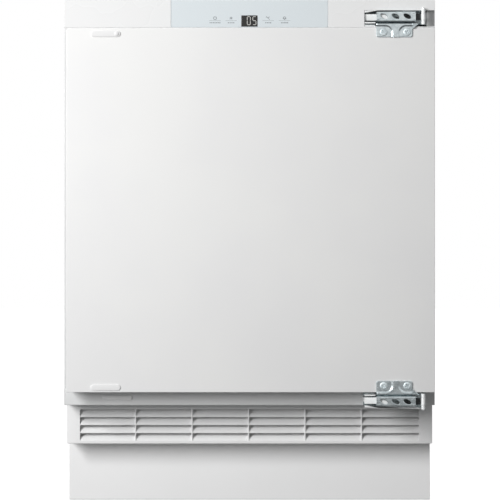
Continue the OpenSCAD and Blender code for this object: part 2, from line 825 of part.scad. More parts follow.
module fascia_housing() color("white")
    difference() {
        block(-fascia_w / 2, fascia_w / 2, y_face, y_cab, fascia_z, cab_h);
        difference() {
            block(-fascia_w / 2 + fascia_wall, fascia_w / 2 - fascia_wall, y_face + fascia_wall, y_cab + cut,
                  fascia_z + fascia_wall, cab_h - fascia_wall);
            fascia_notch(fascia_wall);
        }
        fascia_notch(0);
        // seat of the centre panel, and the opening for the display
        block(-panel_w / 2, panel_w / 2, y_face - cut, y_face + panel_t, fascia_z - cut, cab_h + cut);
        block(-display_w / 2, display_w / 2, y_face - cut, y_face + cut,
              fascia_z + fascia_wall, fascia_z + display_h);
    }

module fascia_panel() color("lightsteelblue")
    difference() {
        block(-panel_w / 2, panel_w / 2, y_face, y_face + panel_t, fascia_z, cab_h);
        block(-display_w / 2, display_w / 2, y_face - cut, y_face + cut, fascia_z - cut,
              fascia_z + display_h);
    }

module display_window() color("black")
    union() {
        block(-display_w / 2, display_w / 2, y_face, y_face + panel_t, fascia_z, fascia_z + display_h);
        block(-display_w / 2, display_w / 2, y_face + panel_t - eps, y_face + window_t,
              fascia_z + fascia_wall, fascia_z + display_h);
    }
window_t = 3;

// touch board with the two-digit display module behind the window
module control_board() color("darkgreen")
    union() {
        block(-board_w / 2, board_w / 2, board_y, board_y + board_t, fascia_z + board_edge,
              cab_h - board_edge);
        block(-display_w / 2 + 1, display_w / 2 - 1, y_face + window_t + run_gap, board_y + eps,
              fascia_z + board_edge + 1, fascia_z + display_h - 1);
        // stand-offs to the cabinet front
        for (x = [-board_w / 2 + 10, board_w / 2 - 10])
            block(x - 4, x + 4, board_y + board_t - eps, y_cab, fascia_z + 16, fascia_z + 26);
    }
board_w = 220;
board_t = 1.6;
board_y = y_face + 9;
board_edge = 5;

// ---- shelves and drawer ----------------------------------------------------

module shelf(k) color("lightcyan")
    block(-cav_w + 1, cav_w - 1, y_shelf + 2, y_cav - trim_d / 2, shelf_z(k), shelf_z(k) + shelf_t);
module shelf_1() shelf(1);
module shelf_2() shelf(2);
module shelf_3() shelf(3);
module crisper_cover() shelf(0);

// snap-on plastic edge, one along the front of each glass and a raised one behind
module shelf_trims() color("white")
    for (k = [0 : shelf_count]) {
        z0 = shelf_z(k);
        z1 = z0 + shelf_t;
        along_x(-cav_w + ledge_w + 1, cav_w - ledge_w - 1)
            polygon([[y_shelf - trim_lip, z0 - trim_nose], [y_shelf - trim_lip, z1 + trim_t],
                     [y_shelf + trim_d, z1 + trim_t], [y_shelf + trim_d, z1], [y_shelf + trim_t, z1],
                     [y_shelf + trim_t, z0], [y_shelf + trim_d, z0], [y_shelf + trim_d, z0 - trim_t],
                     [y_shelf + trim_t, z0 - trim_nose]]);
        along_x(-cav_w + ledge_w + 1, cav_w - ledge_w - 1)
            polygon([[y_cav - trim_d, z0 - trim_t], [y_cav - 1, z0 - trim_t], [y_cav - 1, z1 + trim_up],
                     [y_cav - trim_lip, z1 + trim_up], [y_cav - trim_lip, z1 + trim_t],
                     [y_cav - trim_d, z1 + trim_t], [y_cav - trim_d, z1], [y_cav - trim_d / 2, z1],
                     [y_cav - trim_d / 2, z0], [y_cav - trim_d, z0]]);
    }

drawer_w = cav_w - ledge_w - 6;
drawer_h = crisper_cover_z - 18;
drawer_front = y_shelf + 4;
drawer_back = y_step - step_wall - drawer_gap;
pull_w = 180;
pull_d = 12;
pull_z = z_floor + drawer_h - 26;
module crisper_drawer() color("azure")
    union() {
        difference() {
            block(-drawer_w, drawer_w, drawer_front, drawer_back, z_floor + run_gap, z_floor + drawer_h);
            block(-drawer_w + tray_t, drawer_w - tray_t, drawer_front + 2 * tray_t, drawer_back - tray_t,
                  z_floor + run_gap + tray_t, z_floor + drawer_h + cut);
        }
        // lip to pull it by
        along_x(-pull_w / 2, pull_w / 2)
            polygon([[drawer_front + eps, pull_z], [drawer_front - pull_d, pull_z + pull_d],
                     [drawer_front - pull_d, pull_z + pull_d + 3], [drawer_front + eps, pull_z + 6]]);
    }

// ---- hinges ----------------------------------------------------------------

// cabinet side: a deep channel fixed to the cabinet front; its upper and lower walls
// reach forward at the right and end in the outer knuckles of the barrel
module hinge_arm()
    difference() {
        union() {
            block(arm_x0, arm_x1, y_cab - hinge_t, y_cab, arm_z0, arm_z1);
            for (z = [arm_z0, arm_z1 - hinge_t])
                along_z(z, z + hinge_t)
                    polygon([[arm_x0, arm_front + 6], [arm_x0 + 8, arm_front],
                             [barrel_x - 8, arm_front], [barrel_x - eye_r, pivot_y],
                             [barrel_x + eye_r, pivot_y], [arm_x1, arm_front + 10],
                             [arm_x1, y_cab], [arm_x0, y_cab]]);
            // tongue of the side adjuster
            block(arm_x0, channel_x0 - 2, tongue_y, tongue_y + tongue_t, -tongue_h / 2, tongue_h / 2);
            block(arm_x0, arm_x0 + 12, tongue_y + tongue_t - eps, y_cab, -tongue_h / 2, tongue_h / 2);
            rod(barrel_x, pivot_y, arm_z0, -knuckle_z, eye_r);
            rod(barrel_x, pivot_y, knuckle_z, barrel_z1, eye_r);
        }
        rod(barrel_x, pivot_y, arm_z0 - cut, barrel_z1 + cut, pin_r);
        for (x = arm_screw_x) rod_y(x, y_cab - 2 * cut, y_cab + cut, 0, screw_r);
    }
module hinge_arm_top() color("silver") upper_hinge() hinge_arm();
module hinge_arm_bottom() color("silver") lower_hinge() hinge_arm();

module hinge_arm_screws() color("gray") {
    upper_hinge() arm_screw_pair();
    lower_hinge() arm_screw_pair();
}
module arm_screw_pair()
    for (x = arm_screw_x) {
        rod_y(x, y_cab - hinge_t - 2, y_cab - hinge_t, 0, arm_screw_head);
        rod_y(x, y_cab - hinge_t - eps, y_cab, 0, screw_r);
    }

// pressed link: a rolled eye at each end of a flat plate
module hinge_link()
    difference() {
        union() {
            rod(barrel_x, pivot_y, -link_z, link_z, eye_r);
            rod(link_x, pivot_y, -link_z, link_z, eye_r);
            along_z(-link_z, link_z)
                polygon([[link_x, pivot_y + eye_r], [link_x, pivot_y + eye_r - link_t],
                         [barrel_x, pivot_y + eye_r - link_t], [barrel_x, pivot_y + eye_r]]);
        }
        for (x = [link_x, barrel_x]) rod(x, pivot_y, -link_z - cut, link_z + cut, pin_r + pin_gap);
    }
module hinge_link_top() color("darkgray") upper_hinge() hinge_link();
module hinge_link_bottom() color("darkgray") lower_hinge() hinge_link();

module fixed_pin() {
    rod(barrel_x, pivot_y, arm_z0, barrel_z1 + eps, pin_r);
    rod(barrel_x, pivot_y, barrel_z1, barrel_z1 + 1, pin_r + 0.9);
}
module hinge_fixed_pins() color("gray") {
    upper_hinge() fixed_pin();
    lower_hinge() fixed_pin();
}

module door_pin() rod(link_x, pivot_y, -channel_h / 2, channel_h / 2, pin_r);
module hinge_door_pins() color("gray") {
    upper_hinge() door_pin();
    lower_hinge() door_pin();
}

// door side: the slotted channel, folded down into a T-shaped flange screwed to the door
module hinge_bracket()
    difference() {
        union() {
            along_x(channel_x0, channel_x0 + channel_len)
                polygon([
                    [channel_back, channel_h / 2], [channel_y, channel_h / 2], [channel_y, -channel_h / 2],
                    [channel_back, -channel_h / 2], [channel_back, hinge_t - channel_h / 2],
                    [channel_y + hinge_t, hinge_t - channel_h / 2],
                    [channel_y + hinge_t, channel_h / 2 - hinge_t], [channel_back, channel_h / 2 - hinge_t]]);
            along_y(y_face - flange_t, y_face)
                polygon(rrect(channel_x0, -flange_h, flange_x1, hinge_t - channel_h / 2, 4));
            // ear beside the barrel
            along_y(y_face - flange_t, y_face)
                polygon([[flange_x1 - 8, -ear_h], [flange_x1, -ear_h], [flange_x1 + ear_w, ear_w - ear_h],
                         [flange_x1 + ear_w, hinge_t - channel_h / 2],
                         [flange_x1 - 8, hinge_t - channel_h / 2]]);
            along_y(y_face - flange_t - emboss_t, y_face - flange_t + eps)
                difference() {
                    translate([channel_x0, -flange_h])
                        square([flange_x1 - channel_x0, flange_h - channel_h / 2 + eps]);
                    polygon(rrect(channel_x0 - 20, -flange_h - 20, stem_x0, -channel_h / 2 - band_h, 11));
                    polygon(rrect(stem_x1, -flange_h - 20, flange_x1 + 20, -channel_h / 2 - band_h, 11));
                }
        }
        for (k = [0 : 2])
            slot(channel_x0 + slot_first + k * slot_pitch);
        for (x = screw_x) rod_y(x, y_face - 2 * cut, y_face + cut, -screw_drop, screw_r);
        rod(link_x, pivot_y, -channel_h, channel_h, pin_r);
    }

// oval slot in the channel's face, tilted down to the right
module slot(x)
    translate([x, channel_y - cut, 0]) rotate([0, slot_tilt, 0]) {
        for (s = [-1, 1])
            translate([s * slot_run / 2, 0, 0]) rotate([-90, 0, 0])
                cylinder(h = 2 * cut, r = slot_r, $fn = 32);
        translate([-slot_run / 2, 0, -slot_r]) cube([slot_run, 2 * cut, 2 * slot_r]);
    }
module hinge_bracket_top() color("silver") upper_hinge() hinge_bracket();
module hinge_bracket_bottom() color("silver") lower_hinge() hinge_bracket();

// pan-head screws through the flange into the door
module door_screw_pair()
    for (x = screw_x)
        translate([x, y_face - flange_t, -screw_drop]) rotate([90, 0, 0]) {
            rotate_extrude($fn = 32)
                polygon([[0, 0], [head_r, 0], [head_r, head_rim], [head_r - 1.4, head_h - 0.5],
                         [head_r - 3, head_h], [0, head_h]]);
            translate([0, 0, -flange_t - screw_len])
                cylinder(h = flange_t + screw_len + eps, r = screw_r - 0.1, $fn = 24);
        }
module hinge_door_screws() color("silver") {
    upper_hinge() door_screw_pair();
    lower_hinge() door_screw_pair();
}

// ---- door ------------------------------------------------------------------

cap_w = 47.5;
cap_h = 10;
cap_x = -channel_x0 - 27.3;
cap_drop = 2.5;
cap_zs = [hinge_z - screw_drop - cap_drop, hinge_low_z + screw_drop - cap_drop];

// holes for a hinge on either side
module door_holes(r, y0, y1) {
    for (x = screw_x) {
        rod_y(x, y0, y1, hinge_z - screw_drop, r);
        rod_y(x, y0, y1, hinge_low_z + screw_drop, r);
    }
    for (z = cap_zs, s = [-1, 1]) rod_y(cap_x + s * peg_x, y0, y1, z, r);
}

// folded steel pan with softened vertical edges
module door_outer_panel() color("white")
    difference() {
        along_z(z_door, z_door_top)
            polygon(concat(
                quarter(door_x0 + door_edge_r, y_face + door_edge_r, door_edge_r, 180),
                quarter(door_x1 - door_edge_r, y_face + door_edge_r, door_edge_r, 270),
                [[door_x1, y_face + door_t - liner_t], [door_x0, y_face + door_t - liner_t]]));
        block(door_x0 + skin_t, door_x1 - skin_t, y_face + skin_t, y_face + door_t + cut, z_door + skin_t,
              z_door_top - skin_t);
        door_holes(screw_r, y_face - cut, y_face + cut);
    }

// raised frame of the door liner, shrunk by g
module dyke(g, y0)
    difference() {
        along_y(y0, y_face + door_t + dyke_h - g)
            polygon(rrect(-dyke_out + g, dyke_z0 + g, dyke_out - g, dyke_z1 - g, corner_r));
        along_y(y0 - cut, y_face + door_t + dyke_h + cut)
            polygon(rrect(-dyke_out + dyke_w - g, dyke_z0 + dyke_w - g, dyke_out - dyke_w + g,
                          dyke_z1 - dyke_w + g, corner_r));
    }

module door_liner() color("whitesmoke")
    difference() {
        union() {
            block(door_x0, door_x1, y_face + door_t - liner_t, y_face + door_t, z_door, z_door_top);
            dyke(0, y_face + door_t - eps);
        }
        dyke(liner_t, y_face + door_t - liner_t - cut);
    }

module door_foam() color("khaki")
    difference() {
        union() {
            block(door_x0 + skin_t, door_x1 - skin_t, y_face + skin_t, y_face + door_t - liner_t,
                  z_door + skin_t, z_door_top - skin_t);
            dyke(liner_t, y_face + door_t - liner_t - eps);
        }
        door_holes(screw_r + run_gap, y_face - cut, y_face + screw_len + run_gap);
    }

module door_gasket() color("lightgray")
    along_y(y_face + door_t, y_cab - run_gap)
        round_frame(-gasket_out, gasket_z0, gasket_out, gasket_z1, 6, gasket_w);

// caps over the holes kept for a left-hand hinge
module door_caps() color("white")
    for (z = cap_zs) pill_cap(cap_x, z, cap_w, cap_h, y_face);

balcony_w = dyke_out - dyke_w - run_gap;
balcony_y0 = y_face + door_t + run_gap;
balcony_depth = 98.7;
balcony_y1 = balcony_y0 + balcony_depth;
balcony_r = 18;
balcony_h = 46;
bottle_h = 62;
balcony_drop = 200;
bottle_rise = 15;
module balcony(z, h)
    difference() {
        along_z(z, z + h)
            polygon(concat(
                quarter(balcony_w - balcony_r, balcony_y1 - balcony_r, balcony_r, 0),
                quarter(balcony_r - balcony_w, balcony_y1 - balcony_r, balcony_r, 90),
                [[-balcony_w, balcony_y0], [balcony_w, balcony_y0]]));
        along_z(z + tray_t, z + h + cut)
            polygon(rrect(-balcony_w + tray_t, balcony_y0 + tray_t, balcony_w - tray_t, balcony_y1 - tray_t,
                          balcony_r - tray_t));
    }
module balcony_top() color("azure") balcony(dyke_z1 - dyke_w - corner_r - balcony_h, balcony_h);
module balcony_middle() color("azure") balcony(z_ceil - balcony_drop, balcony_h);
module balcony_bottle() color("azure") balcony(z_cover + bottle_rise, bottle_h);

// ---- assembly --------------------------------------------------------------

outer_wrapper();
back_panel();
bottom_pan();
cabinet_foam();
inner_liner();
front_rail();
rail_cap();
fascia_housing();
fascia_panel();
display_window();
control_board();
evaporator_plate();
drain_tube();
lamp_housing();
lamp_lens();
temperature_sensor();
shelf_1();
shelf_2();
shelf_3();
shelf_trims();
crisper_cover();
crisper_drawer();
base_rail_left();
base_rail_right();
compressor_plate();
compressor();
compressor_mounts();
start_relay();
evaporation_tray();
condenser_coil();
condenser_wires();
condenser_clips();
filter_drier();
refrigerant_lines();
terminal_block();
vent_grille();
plinth_panel();
foot_front_left();
foot_front_right();
foot_rear_left();
foot_rear_right();
hinge_arm_top();
hinge_arm_bottom();
hinge_arm_screws();
hinge_link_top();
hinge_link_bottom();
hinge_fixed_pins();
hinge_bracket_top();
hinge_bracket_bottom();
hinge_door_pins();
hinge_door_screws();
door_outer_panel();
door_foam();
door_liner();
door_gasket();
door_caps();
balcony_top();
balcony_middle();
balcony_bottle();
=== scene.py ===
"""Built-under larder refrigerator: finishes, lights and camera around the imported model.

Shapes are worked out in millimetres as numpy arrays and put into meshes in metres. X runs to the right as
seen from the front, -Y to the front, Z up from the floor.
"""
import json
import math

import bmesh
import bpy
import numpy as np
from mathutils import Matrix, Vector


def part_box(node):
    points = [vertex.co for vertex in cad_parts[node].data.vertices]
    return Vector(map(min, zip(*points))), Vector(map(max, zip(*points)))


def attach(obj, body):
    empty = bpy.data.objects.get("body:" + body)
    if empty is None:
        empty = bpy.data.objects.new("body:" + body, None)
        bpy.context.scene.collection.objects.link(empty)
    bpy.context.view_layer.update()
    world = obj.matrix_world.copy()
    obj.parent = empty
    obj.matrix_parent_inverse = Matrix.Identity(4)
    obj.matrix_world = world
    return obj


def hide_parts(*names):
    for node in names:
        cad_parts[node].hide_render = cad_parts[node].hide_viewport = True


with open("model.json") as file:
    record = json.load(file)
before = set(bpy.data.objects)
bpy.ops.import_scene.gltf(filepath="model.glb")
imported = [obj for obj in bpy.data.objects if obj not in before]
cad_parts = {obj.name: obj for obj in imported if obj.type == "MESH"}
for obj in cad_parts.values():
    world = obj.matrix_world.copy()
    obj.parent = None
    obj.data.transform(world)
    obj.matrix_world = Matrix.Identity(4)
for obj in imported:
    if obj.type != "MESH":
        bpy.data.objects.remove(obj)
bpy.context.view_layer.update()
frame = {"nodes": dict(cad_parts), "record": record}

MM = 0.001


def span(node):
    """Lowest and highest corner of a CAD node, in millimetres."""
    low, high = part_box(node)
    return np.array(low) / MM, np.array(high) / MM


# ---- meshes ------------------------------------------------------------------

# The two axes of each plane, and the one across it.
PLANES = {"xz": (0, 2, 1), "xy": (0, 1, 2), "yz": (1, 2, 0)}


def grid(points, wrap=False, close=False, caps=False):
    """One surface from an (m, n, 3) array: quads between neighbours, n wrapped for tubes, m for rings."""
    m, n = points.shape[:2]
    rows = np.arange(m if close else m - 1)[:, None]
    cols = np.arange(n if wrap else n - 1)[None, :]
    down, right = (rows + 1) % m, (cols + 1) % n
    corners = (rows * n + cols, rows * n + right, down * n + right, down * n + cols)
    faces = np.stack(np.broadcast_arrays(*corners), -1).reshape(-1, 4).tolist()
    if caps:
        faces += [list(range(n))[::-1], list(range((m - 1) * n, m * n))]
    return points.reshape(-1, 3), faces


def rings(rows, plane="xz", close=False, caps=True, arc=5):
    """Rounded rectangles one after another. A row is (u0, v0, u1, v1, corner radius, depth) in a plane."""
    u0, v0, u1, v1, r, depth = np.array(rows, float).T[:, :, None]
    turn = np.radians(np.concatenate([np.linspace(q, q + 90, arc + 1) for q in (0, 90, 180, 270)]))
    side_u = np.repeat([1, -1, -1, 1], arc + 1)
    side_v = np.repeat([1, 1, -1, -1], arc + 1)
    out = np.empty((len(rows), len(turn), 3))
    u, v, w = PLANES[plane]
    out[..., u] = (u0 + u1) / 2 + side_u * ((u1 - u0) / 2 - r) + r * np.cos(turn)
    out[..., v] = (v0 + v1) / 2 + side_v * ((v1 - v0) / 2 - r) + r * np.sin(turn)
    out[..., w] = depth
    return grid(out, wrap=True, close=close, caps=caps and not close)


def face_of(low, high, plane="xz"):
    """The rectangle (u0, v0, u1, v1) that a box shows in that plane."""
    u, v, _ = PLANES[plane]
    return low[u], low[v], high[u], high[v]


def rectangle(u0, v0, u1, v1):
    """The four corners of a rectangle, as an outline."""
    return [(u0, v0), (u1, v0), (u1, v1), (u0, v1)]


def drawn_in(box, corner, steps):
    """Rows for rings: the same rounded rectangle, drawn in by each step's inset and set at its depth."""
    u0, v0, u1, v1 = box
    return [(u0 + g, v0 + g, u1 - g, v1 - g, max(corner - g, 0.05), d) for g, d in steps]


def edge_round(r, depth, steps=4):
    """Quarter round of radius r, from the side face (inset 0) on to the front face at that depth."""
    turn = np.radians(np.linspace(0, 90, steps + 1))
    return list(zip(r * (1 - np.cos(turn)), depth + r * (1 - np.sin(turn))))


def inset(outline, gap):
    """A closed outline drawn in by gap along the mitre of the two edges at each corner."""
    ahead = np.roll(outline, -1, 0) - outline
    ahead /= np.linalg.norm(ahead, axis=1)[:, None]
    behind = np.roll(ahead, 1, 0)
    x, y = outline.T
    inside = np.sign((x * np.roll(y, -1) - np.roll(x, -1) * y).sum())
    normal = np.stack([-ahead[:, 1] - behind[:, 1], ahead[:, 0] + behind[:, 0]], 1) * inside
    return outline + gap * normal / np.maximum((normal ** 2).sum(1) / 2, 0.5)[:, None]


def prism(outline, low, high, plane="yz", bevel=0.25):
    """A closed outline of (m, 2) points carried from low to high across its plane, with chamfered ends."""
    outline = np.asarray(outline, float)
    u, v, w = PLANES[plane]
    out = np.empty((4, len(outline), 3))
    steps = [(bevel, low), (0, low + bevel), (0, high - bevel), (bevel, high)]
    for k, (gap, depth) in enumerate(steps):
        out[k, :, [u, v]] = inset(outline, gap).T
        out[k, :, w] = depth
    return grid(out, wrap=True, caps=True)


def filleted(points, radius, steps=5, closed=False):
    """A polyline with each corner turned into an arc of that radius, tangent to both of its sides."""
    points = np.asarray(points, float)
    radius = np.broadcast_to(radius, len(points))
    out = [] if closed else [points[:1]]
    for k in range(0 if closed else 1, len(points) if closed else len(points) - 1):
        p, a, b = points[k], points[k - 1], points[(k + 1) % len(points)]
        to_a, to_b = (a - p) / np.linalg.norm(a - p), (b - p) / np.linalg.norm(b - p)
        half = math.acos(np.clip(to_a @ to_b, -1, 1)) / 2
        reach = radius[k] / math.tan(half)
        middle = p + (to_a + to_b) / np.linalg.norm(to_a + to_b) * radius[k] / math.sin(half)
        start, end = p + to_a * reach - middle, p + to_b * reach - middle
        t = np.linspace(0, 1, steps + 1)[:, None]
        whole = math.pi - 2 * half
        arc = (np.sin((1 - t) * whole) * start + np.sin(t * whole) * end) / math.sin(whole)
        out.append(middle + arc)
    return np.concatenate(out if closed else out + [points[-1:]])


# Radius of a turned part's two ends, so near its axis that they close it.
AXIS = 0.001


def turned(profile, centre, axis="z", sides=48):
    """A (radius, height) profile turned about an axis through centre; both of its ends have radius AXIS."""
    profile = np.asarray(profile, float)
    turn = np.linspace(0, 2 * math.pi, sides, endpoint=False)
    out = np.empty((len(profile), sides, 3))
    u, v, w = {"z": (0, 1, 2), "y": (2, 0, 1), "x": (1, 2, 0)}[axis]
    out[..., u] = centre[u] + profile[:, :1] * np.cos(turn)
    out[..., v] = centre[v] + profile[:, :1] * np.sin(turn)
    out[..., w] = centre[w] + profile[:, 1:]
    return grid(out, wrap=True)


def ribbon(path, width, low, high):
    """A stroke of that width along a path of (x, z) points, between two depths in Y."""
    path = np.asarray(path, float)
    along = np.gradient(path, axis=0)
    along /= np.linalg.norm(along, axis=1)[:, None]
    side = np.stack([-along[:, 1], along[:, 0]], 1) * width / 2
    left, right = path + side, path - side
    out = np.empty((len(path), 4, 3))
    for k, (line, depth) in enumerate([(left, low), (left, high), (right, high), (right, low)]):
        out[:, k, 0], out[:, k, 2], out[:, k, 1] = line[:, 0], line[:, 1], depth
    return grid(out, wrap=True, caps=True)


def piece(name, parts, body, slot, nodes=(), finish=None, smooth=35):
    """One mesh from several parts, merged, turned outwards, finished, and set to ride on its body."""
    points = np.concatenate([p for p, _ in parts]) * MM
    starts = np.cumsum([0] + [len(p) for p, _ in parts[:-1]])
    faces = [[k + s for k in face] for s, (_, group) in zip(starts.tolist(), parts) for face in group]
    mesh = bpy.data.meshes.new(name)
    mesh.from_pydata(points, [], faces)
    work = bmesh.new()
    work.from_mesh(mesh)
    bmesh.ops.remove_doubles(work, verts=work.verts, dist=2e-6)
    bmesh.ops.dissolve_degenerate(work, edges=work.edges, dist=1e-6)
    bmesh.ops.recalc_face_normals(work, faces=work.faces)
    work.to_mesh(mesh)
    work.free()
    mesh.shade_smooth()
    mesh.set_sharp_from_angle(angle=math.radians(smooth))
    mesh.materials.append(finish or FINISH[slot])
    shape = bpy.data.objects.new(name, mesh)
    bpy.context.scene.collection.objects.link(shape)
    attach(shape, body)
    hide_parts(*nodes)
    return shape


# ---- materials ---------------------------------------------------------------

# Sockets of a Mix node that mixes colours; several of its sockets bear the same name.
MIX_FACTOR, MIX_FIRST, MIX_SECOND, MIX_RESULT = 0, 6, 7, 2


def linear(code):
    """An sRGB hex colour as the linear RGBA that the nodes take."""
    s = np.array([int(code[k:k + 2], 16) for k in (1, 3, 5)]) / 255
    return (*np.where(s <= 0.04045, s / 12.92, ((s + 0.055) / 1.055) ** 2.4).tolist(), 1.0)


def add(tree, kind, inputs=None, **settings):
    """One node with its settings; an input is a value, or the socket that feeds it."""
    made = tree.nodes.new(kind)
    for key, value in settings.items():
        setattr(made, key, value)
    for key, value in (inputs or {}).items():
        if isinstance(value, bpy.types.NodeSocket):
            tree.links.new(value, made.inputs[key])
        else:
            made.inputs[key].default_value = value
    return made


def material(name, code, **sockets):
    """A material with one Principled shader; its sockets are named with underscores for spaces."""
    made = bpy.data.materials.new(name)
    made.use_nodes = True
    tree = made.node_tree
    tree.nodes.clear()
    inputs = {key.replace("_", " "): value for key, value in sockets.items()}
    shader = add(tree, "ShaderNodeBsdfPrincipled", {"Base Color": linear(code), **inputs})
    out = add(tree, "ShaderNodeOutputMaterial")
    tree.links.new(shader.outputs["BSDF"], out.inputs["Surface"])
    made.diffuse_color = linear(code)
    return made, tree, shader


def grains(tree, size, stretch=(1, 1, 1), detail=2.0):
    """A pattern of soft grains about size millimetres across, drawn out by stretch along X, Y and Z."""
    where = add(tree, "ShaderNodeTexCoord").outputs["Object"]
    scale = tuple(1 / (size * MM * s) for s in stretch)
    mapped = add(tree, "ShaderNodeMapping", {"Vector": where, "Scale": scale}).outputs["Vector"]
    return add(tree, "ShaderNodeTexNoise", {"Vector": mapped, "Scale": 1.0, "Detail": detail}).outputs["Fac"]


def cells(tree, size):
    """A pattern of cells about size millimetres across: Color, one to a cell, and Distance."""
    where = add(tree, "ShaderNodeTexCoord").outputs["Object"]
    return add(tree, "ShaderNodeTexVoronoi", {"Vector": where, "Scale": 1 / (size * MM)}).outputs


def relief(tree, shader, height, depth, strength):
    """Relief of that depth in millimetres on the shader's normal."""
    raised = add(tree, "ShaderNodeBump", {"Height": height, "Distance": depth * MM, "Strength": strength})
    tree.links.new(raised.outputs["Normal"], shader.inputs["Normal"])


def spread(tree, value, low=0, high=1):
    """A pattern's 0.3 to 0.7 taken softly to the range low to high."""
    ranged = {"Value": value, "From Min": 0.3, "From Max": 0.7, "To Min": low, "To Max": high}
    return add(tree, "ShaderNodeMapRange", ranged, interpolation_type="SMOOTHSTEP").outputs["Result"]


def tinted(tree, shader, pattern, first, second):
    """Base colour that wanders between two hex colours with the pattern."""
    colours = {MIX_FACTOR: pattern, MIX_FIRST: linear(first), MIX_SECOND: linear(second)}
    mix = add(tree, "ShaderNodeMix", colours, data_type="RGBA")
    tree.links.new(mix.outputs[MIX_RESULT], shader.inputs["Base Color"])


def roughened(tree, shader, pattern, low, high):
    """Roughness that wanders from low to high with the pattern."""
    tree.links.new(spread(tree, pattern, low, high), shader.inputs["Roughness"])


def white_enamel(name, code, shade):
    """Powder-coated sheet steel: a satin white film with faint orange peel, its swells about 2 mm apart."""
    made, tree, shader = material(name, code, Roughness=0.32, Coat_Weight=0.15, Coat_Roughness=0.2)
    relief(tree, shader, grains(tree, 2.2), 0.012, 0.5)
    tinted(tree, shader, spread(tree, grains(tree, 180)), code, shade)
    return made


def moulded(name, code, shade, roughness, size=0.8, depth=0.01, **sockets):
    """Moulded plastic: even colour, and the fine grain of its mould, size and depth in millimetres."""
    made, tree, shader = material(name, code, **sockets)
    relief(tree, shader, grains(tree, size, detail=4), depth, 0.6)
    cloud = grains(tree, 90)
    tinted(tree, shader, spread(tree, cloud), code, shade)
    roughened(tree, shader, cloud, roughness - 0.04, roughness + 0.04)
    return made


def zinc_plate(name="zinc_plated_steel", smooth=0.2, rough=0.38):
    """Zinc-plated spring steel: a cool silver, its rolling lines along X about 0.5 mm apart. Small parts,
    plated in a barrel, are rougher and so duller."""
    made, tree, shader = material(name, "#C4CCCE", Metallic=1.0)
    lines = grains(tree, 0.5, stretch=(30, 1, 1), detail=3)
    bloom = grains(tree, 7)
    tinted(tree, shader, spread(tree, bloom), "#CBD3D5", "#B5BEC1")
    roughened(tree, shader, lines, smooth, rough)
    relief(tree, shader, lines, 0.01, 0.4)
    return made


def zinc_painted_highlight():
    """Zinc of the arm's tongue and barrel painted nearly white and matt: a painted highlight for the light
    that these faces catch, with grains about 1 mm across.
    """
    made, tree, shader = material("zinc_painted_highlight", "#F6F8F8", Metallic=0.25)
    grain = grains(tree, 1.0, detail=3)
    tinted(tree, shader, spread(tree, grain), "#FAFBFB", "#EFF2F2")
    roughened(tree, shader, grain, 0.38, 0.5)
    return made


def link_steel_painted_shade():
    """Link steel painted near black: painted shade for the shadow on the stack of links, slightly mottled
    about every 3 mm.
    """
    made, tree, shader = material("link_steel_painted_shade", "#2A2C2D", Metallic=0.6, Roughness=0.45)
    tinted(tree, shader, spread(tree, grains(tree, 3)), "#242627", "#3A3D3E")
    return made


def galvanised():
    """Hot-dip galvanised sheet: grey zinc with soft spangles about 11 mm across."""
    made, tree, shader = material("galvanised_sheet", "#B2B7B9", Metallic=0.7)
    tinted(tree, shader, cells(tree, 11)["Color"], "#ACB2B4", "#BCC1C3")
    roughened(tree, shader, grains(tree, 6), 0.34, 0.5)
    return made


def drawn_steel():
    """Bright drawn steel pins, with fine lines along their length."""
    made, tree, shader = material("drawn_steel", "#DDE0E1", Metallic=1.0)
    roughened(tree, shader, grains(tree, 0.4, (1, 1, 8)), 0.12, 0.26)
    return made


def black_lacquer():
    """Black stoved lacquer on the compressor and condenser, slightly wavy from dipping."""
    made, tree, shader = material("black_lacquer", "#1B1C1D", Roughness=0.3)
    relief(tree, shader, grains(tree, 4), 0.05, 0.5)
    tinted(tree, shader, spread(tree, grains(tree, 40)), "#19191A", "#262728")
    return made


def copper_tube():
    """Drawn copper: warm metal, browned in patches 20 mm long where it was brazed and handled."""
    made, tree, shader = material("drawn_copper", "#B8714A", Metallic=1.0)
    stain = grains(tree, 20, detail=4)
    tinted(tree, shader, spread(tree, stain), "#C67C52", "#8A5238")
    roughened(tree, shader, stain, 0.22, 0.45)
    return made


def rolled_aluminium():
    """Mill-finish aluminium sheet, with rolling lines along X about 0.6 mm apart."""
    made, tree, shader = material("rolled_aluminium", "#C9CCCF", Metallic=1.0)
    lines = grains(tree, 0.6, (40, 1, 1), 3)
    roughened(tree, shader, lines, 0.3, 0.5)
    relief(tree, shader, lines, 0.01, 0.3)
    return made


def float_glass():
    """Toughened float glass: clear, with the faint green of its iron. Alpha opens most of it, so that light
    reaches the shelves below."""
    made, tree, shader = material("toughened_glass", "#F3FAF8", Transmission_Weight=1.0, Roughness=0.02,
                                  IOR=1.52, Alpha=0.35)
    relief(tree, shader, grains(tree, 60), 0.02, 0.2)
    return made


def clear_polystyrene():
    """Crystal polystyrene: clear with a slight blue, its faces a little wavy from the mould. Alpha opens
    more than half of it, so that it stays pale in front of the liner."""
    made, tree, shader = material("crystal_polystyrene", "#F2F8FA", Transmission_Weight=1.0, Roughness=0.06,
                                  IOR=1.59, Alpha=0.4)
    relief(tree, shader, grains(tree, 25), 0.05, 0.3)
    return made


def display_window():
    """Smoked acrylic window: near black and glossy."""
    made, tree, shader = material("smoked_acrylic", "#1A1A19", Roughness=0.08, IOR=1.49)
    relief(tree, shader, grains(tree, 12), 0.01, 0.2)
    return made


def lit_segments():
    """Lit segments of the number display: pale grey, with a soft glow of their own."""
    made, tree, shader = material("lit_segments", "#9A9A97", Roughness=0.5,
                                  Emission_Color=linear("#C9C9C5"), Emission_Strength=0.55)
    relief(tree, shader, grains(tree, 1), 0.005, 0.2)
    return made


